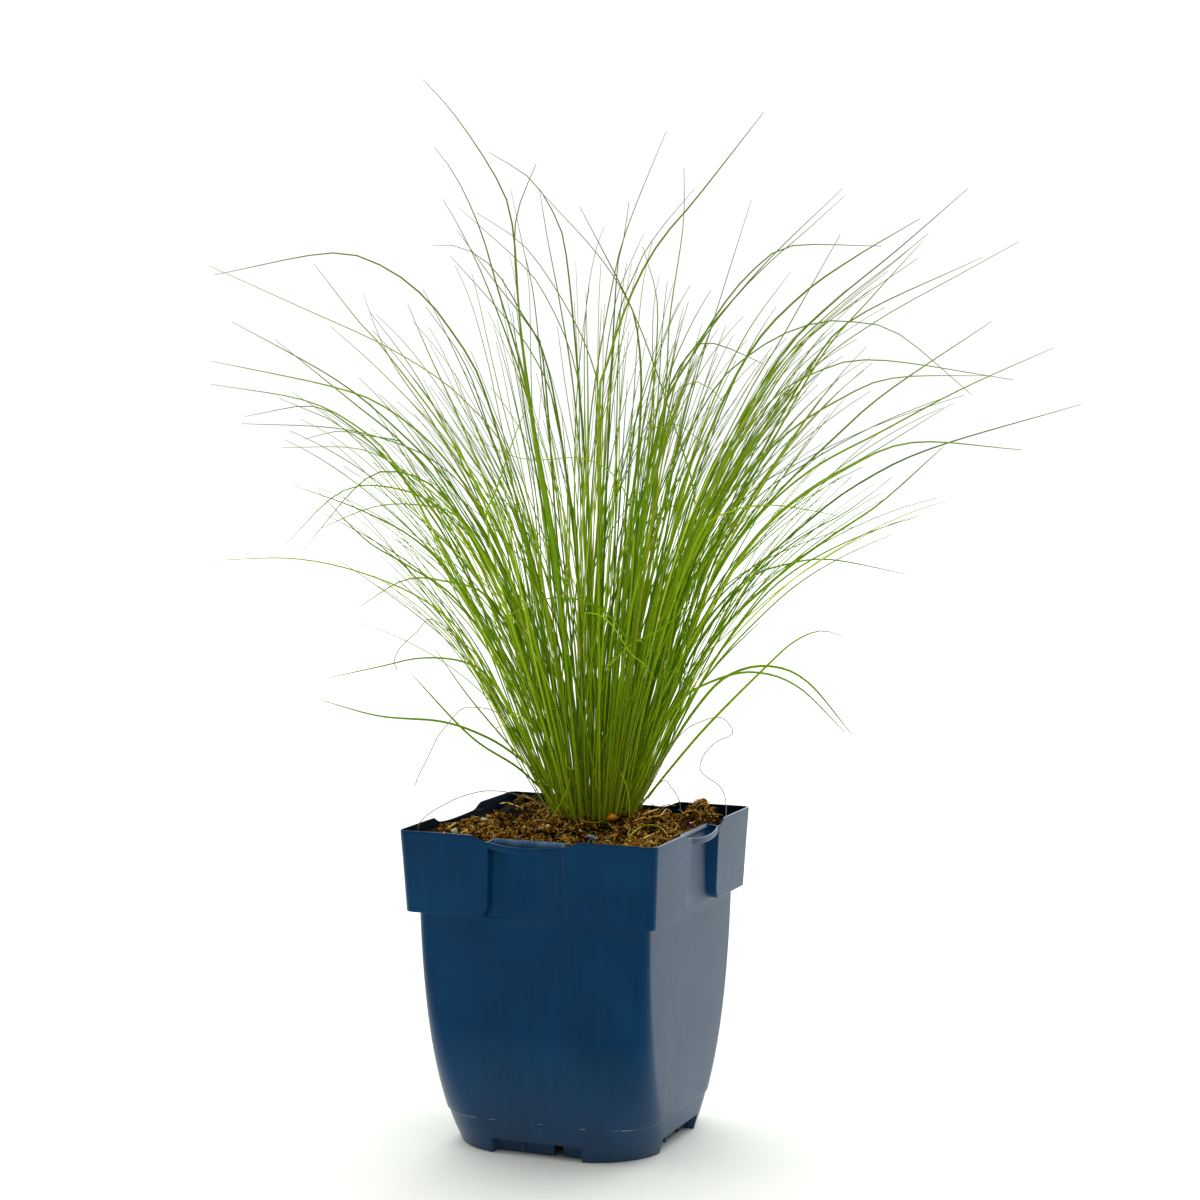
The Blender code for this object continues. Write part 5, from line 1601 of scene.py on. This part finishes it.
def bundle_leaf(row, chance):
    """One leaf: its bundle's middle line with its own place, length, sway and droop."""
    _, foot_spread, top_spread, pairs = row
    part = PARTS[0] + (PARTS[1] - PARTS[0]) * chance.beta(2.2, 2.0)
    flat = smooth_route(rooted(np.array(pairs) * MM), LEAF_POINTS, part)
    share = np.linspace(0, 1, LEAF_POINTS)
    at_foot = np.clip(chance.normal(0, 1), -SPREAD_LIMIT, SPREAD_LIMIT)
    at_top = SIDE_KEPT * at_foot + math.sqrt(1 - SIDE_KEPT ** 2) * chance.normal(0, 1)
    apart = foot_spread * at_foot * (1 - share) + top_spread * at_top * share ** SPREAD_POWER
    sway = SWAY * chance.normal(0, 1) * np.sin(math.pi * share * chance.uniform(*WAVES))
    outwards = math.copysign(1, flat[-1, 0] - flat[0, 0] + chance.normal(0, UNSURE_SIDE))
    droop = outwards * DROOP * min(chance.gamma(1.0, 0.7), MOST_DROOP) * share ** DROOP_POWER
    across = flat[:, 0] + apart * MM + sway + droop
    height = flat[:, 1] - np.abs(droop) * 0.5
    start = START_DEPTHS[0] + np.clip(chance.normal(0, 1), -DEPTH_LIMIT, DEPTH_LIMIT) * START_DEPTHS[1]
    lean = (start - START_DEPTHS[0]) * DEPTH_LEAN + chance.normal(0, 1) * DEPTH_SCATTER
    return seen_points(across, height, start + lean * share ** LEAN_POWER)


chance = np.random.default_rng(5)
bundled = np.stack([bundle_leaf(row, chance) for row in BUNDLES for _ in range(row[0])])
leaf_mesh("tuft_leaves", bundled, (0.58, 0.98), chance, 0.02, replaced=["grass_crown"])
print(len(bundled), "leaves stand in", len(BUNDLES), "bundles")

# %% [markdown]
# ## Loose leaves
#
# Between the bundles stand single leaves that lean every way and cross each other. These follow the way
# grass grows: a leaf starts steeply and bends over under its own weight, mostly in its upper half, and
# the further out it stands, the more it leans.

# %% Grow the loose leaves
LOOSE_LEAVES = 60
CROWN_ACROSS = 16 * MM
CROWN_DEEP = 12 * MM
LEAN_EDGE = math.radians(20)
LEAF_REACH = (170 * MM, 140 * MM)
LOOSE_START = 124 * MM
LOOSE_LENGTH = (172, 38)
LOOSE_LENGTH_LIMITS = (80, 250)
MOST_BEND = 90
GOLDEN_ANGLE = math.radians(137.508)
TURN_SPREAD = 0.5
LEAN_SPREAD = math.radians(5)
BEND_POWERS = (1.3, 2.6)


def grow_leaf(place, heading, lean, bend, length, power, sway):
    """A route that leans out along its heading and bends over more and more."""
    steps = LEAF_POINTS - 1
    share = (np.arange(steps) + 0.5) / steps
    tilt = lean + bend * share ** power
    turn = heading + sway * share
    step = length / steps
    moves = np.stack([np.sin(tilt) * np.cos(turn), np.sin(tilt) * np.sin(turn), np.cos(tilt)], axis=1) * step
    return np.vstack([place, place + np.cumsum(moves, axis=0)])


def loose_leaf(number, chance):
    """One leaf at its place in the crown, by the golden angle so that the crown fills evenly."""
    rank = math.sqrt((number + 0.5) / LOOSE_LEAVES)
    heading = number * GOLDEN_ANGLE
    across, deep = CROWN_ACROSS * rank * math.cos(heading), CROWN_DEEP * rank * math.sin(heading)
    place = np.array([CROWN_X, CROWN_Y, LOOSE_START]) + RIGHT * across + AWAY * deep
    outwards = math.atan2(place[1] - CROWN_Y, place[0] - CROWN_X)
    return grow_leaf(
        place,
        outwards + chance.normal(0, TURN_SPREAD),
        max(0, LEAN_EDGE * rank + chance.normal(0, LEAN_SPREAD)),
        math.radians(min(chance.gamma(3.0, 11), MOST_BEND)),
        float(np.clip(chance.normal(*LOOSE_LENGTH), *LOOSE_LENGTH_LIMITS)) * MM,
        chance.uniform(*BEND_POWERS),
        chance.normal(0, TURN_SPREAD),
    )


grown = [loose_leaf(number, chance) for number in range(LOOSE_LEAVES)]
grown = np.stack([route for route in grown if np.all(np.abs(route[:, :2]) < LEAF_REACH)])
leaf_mesh("loose_leaves", grown, (0.55, 0.85), chance, 0.04)
print(len(grown), "loose leaves have grown")

# %% [markdown]
# ## Threads and fallen leaves
#
# Root threads and dead leaf tips are pale grey-brown and curly. Two thin green leaves have fallen on the
# soil in front of the tuft.

# %% Lay the threads, the straws and the fallen leaves
THREAD_POINTS = 48
THREAD_RADIUS = 0.18 * MM
THREAD_TONES = (0.6, 0.35, 0.7, 0.7, 0.9, 0.4)
FALLEN_LEAVES = (
    (0.7, 0.6, 2.2, ((629, 836), (638, 828), (648, 824), (657, 825), (663, 829), (668, 836))),
    (0.6, 0.5, 1.6, ((626, 822), (630, 828), (628, 834), (633, 840))),
)

threads = np.stack([read_route(row, THREAD_POINTS, with_root=False) for row in THREAD_ROUTES])
radii = np.full((len(threads), THREAD_POINTS), THREAD_RADIUS)
thread_mesh = tubes("dry_threads", threads, radii, STRAW_SIDES, np.array(THREAD_TONES))
as_piece(thread_mesh, dry_thread)
lay_straws("straws", SEEN_STRAWS, peat_fibre)
lay_straws("fallen_leaves", FALLEN_LEAVES, fresh_grass, {"dry": 0.45})

# %% [markdown]
# ## Sizes and the end
#
# Both boxes are gathered, and the dressed model's reach is printed. The dressed model has to
# stay within the solids' box, give or take a little.

# %% Gather the sizes and finish
visual_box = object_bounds()
sizes = {"cad": [list(corner) for corner in cad_box], "visual": [list(corner) for corner in visual_box]}
print("the dressed model reaches from", sizes["visual"][0], "to", sizes["visual"][1])
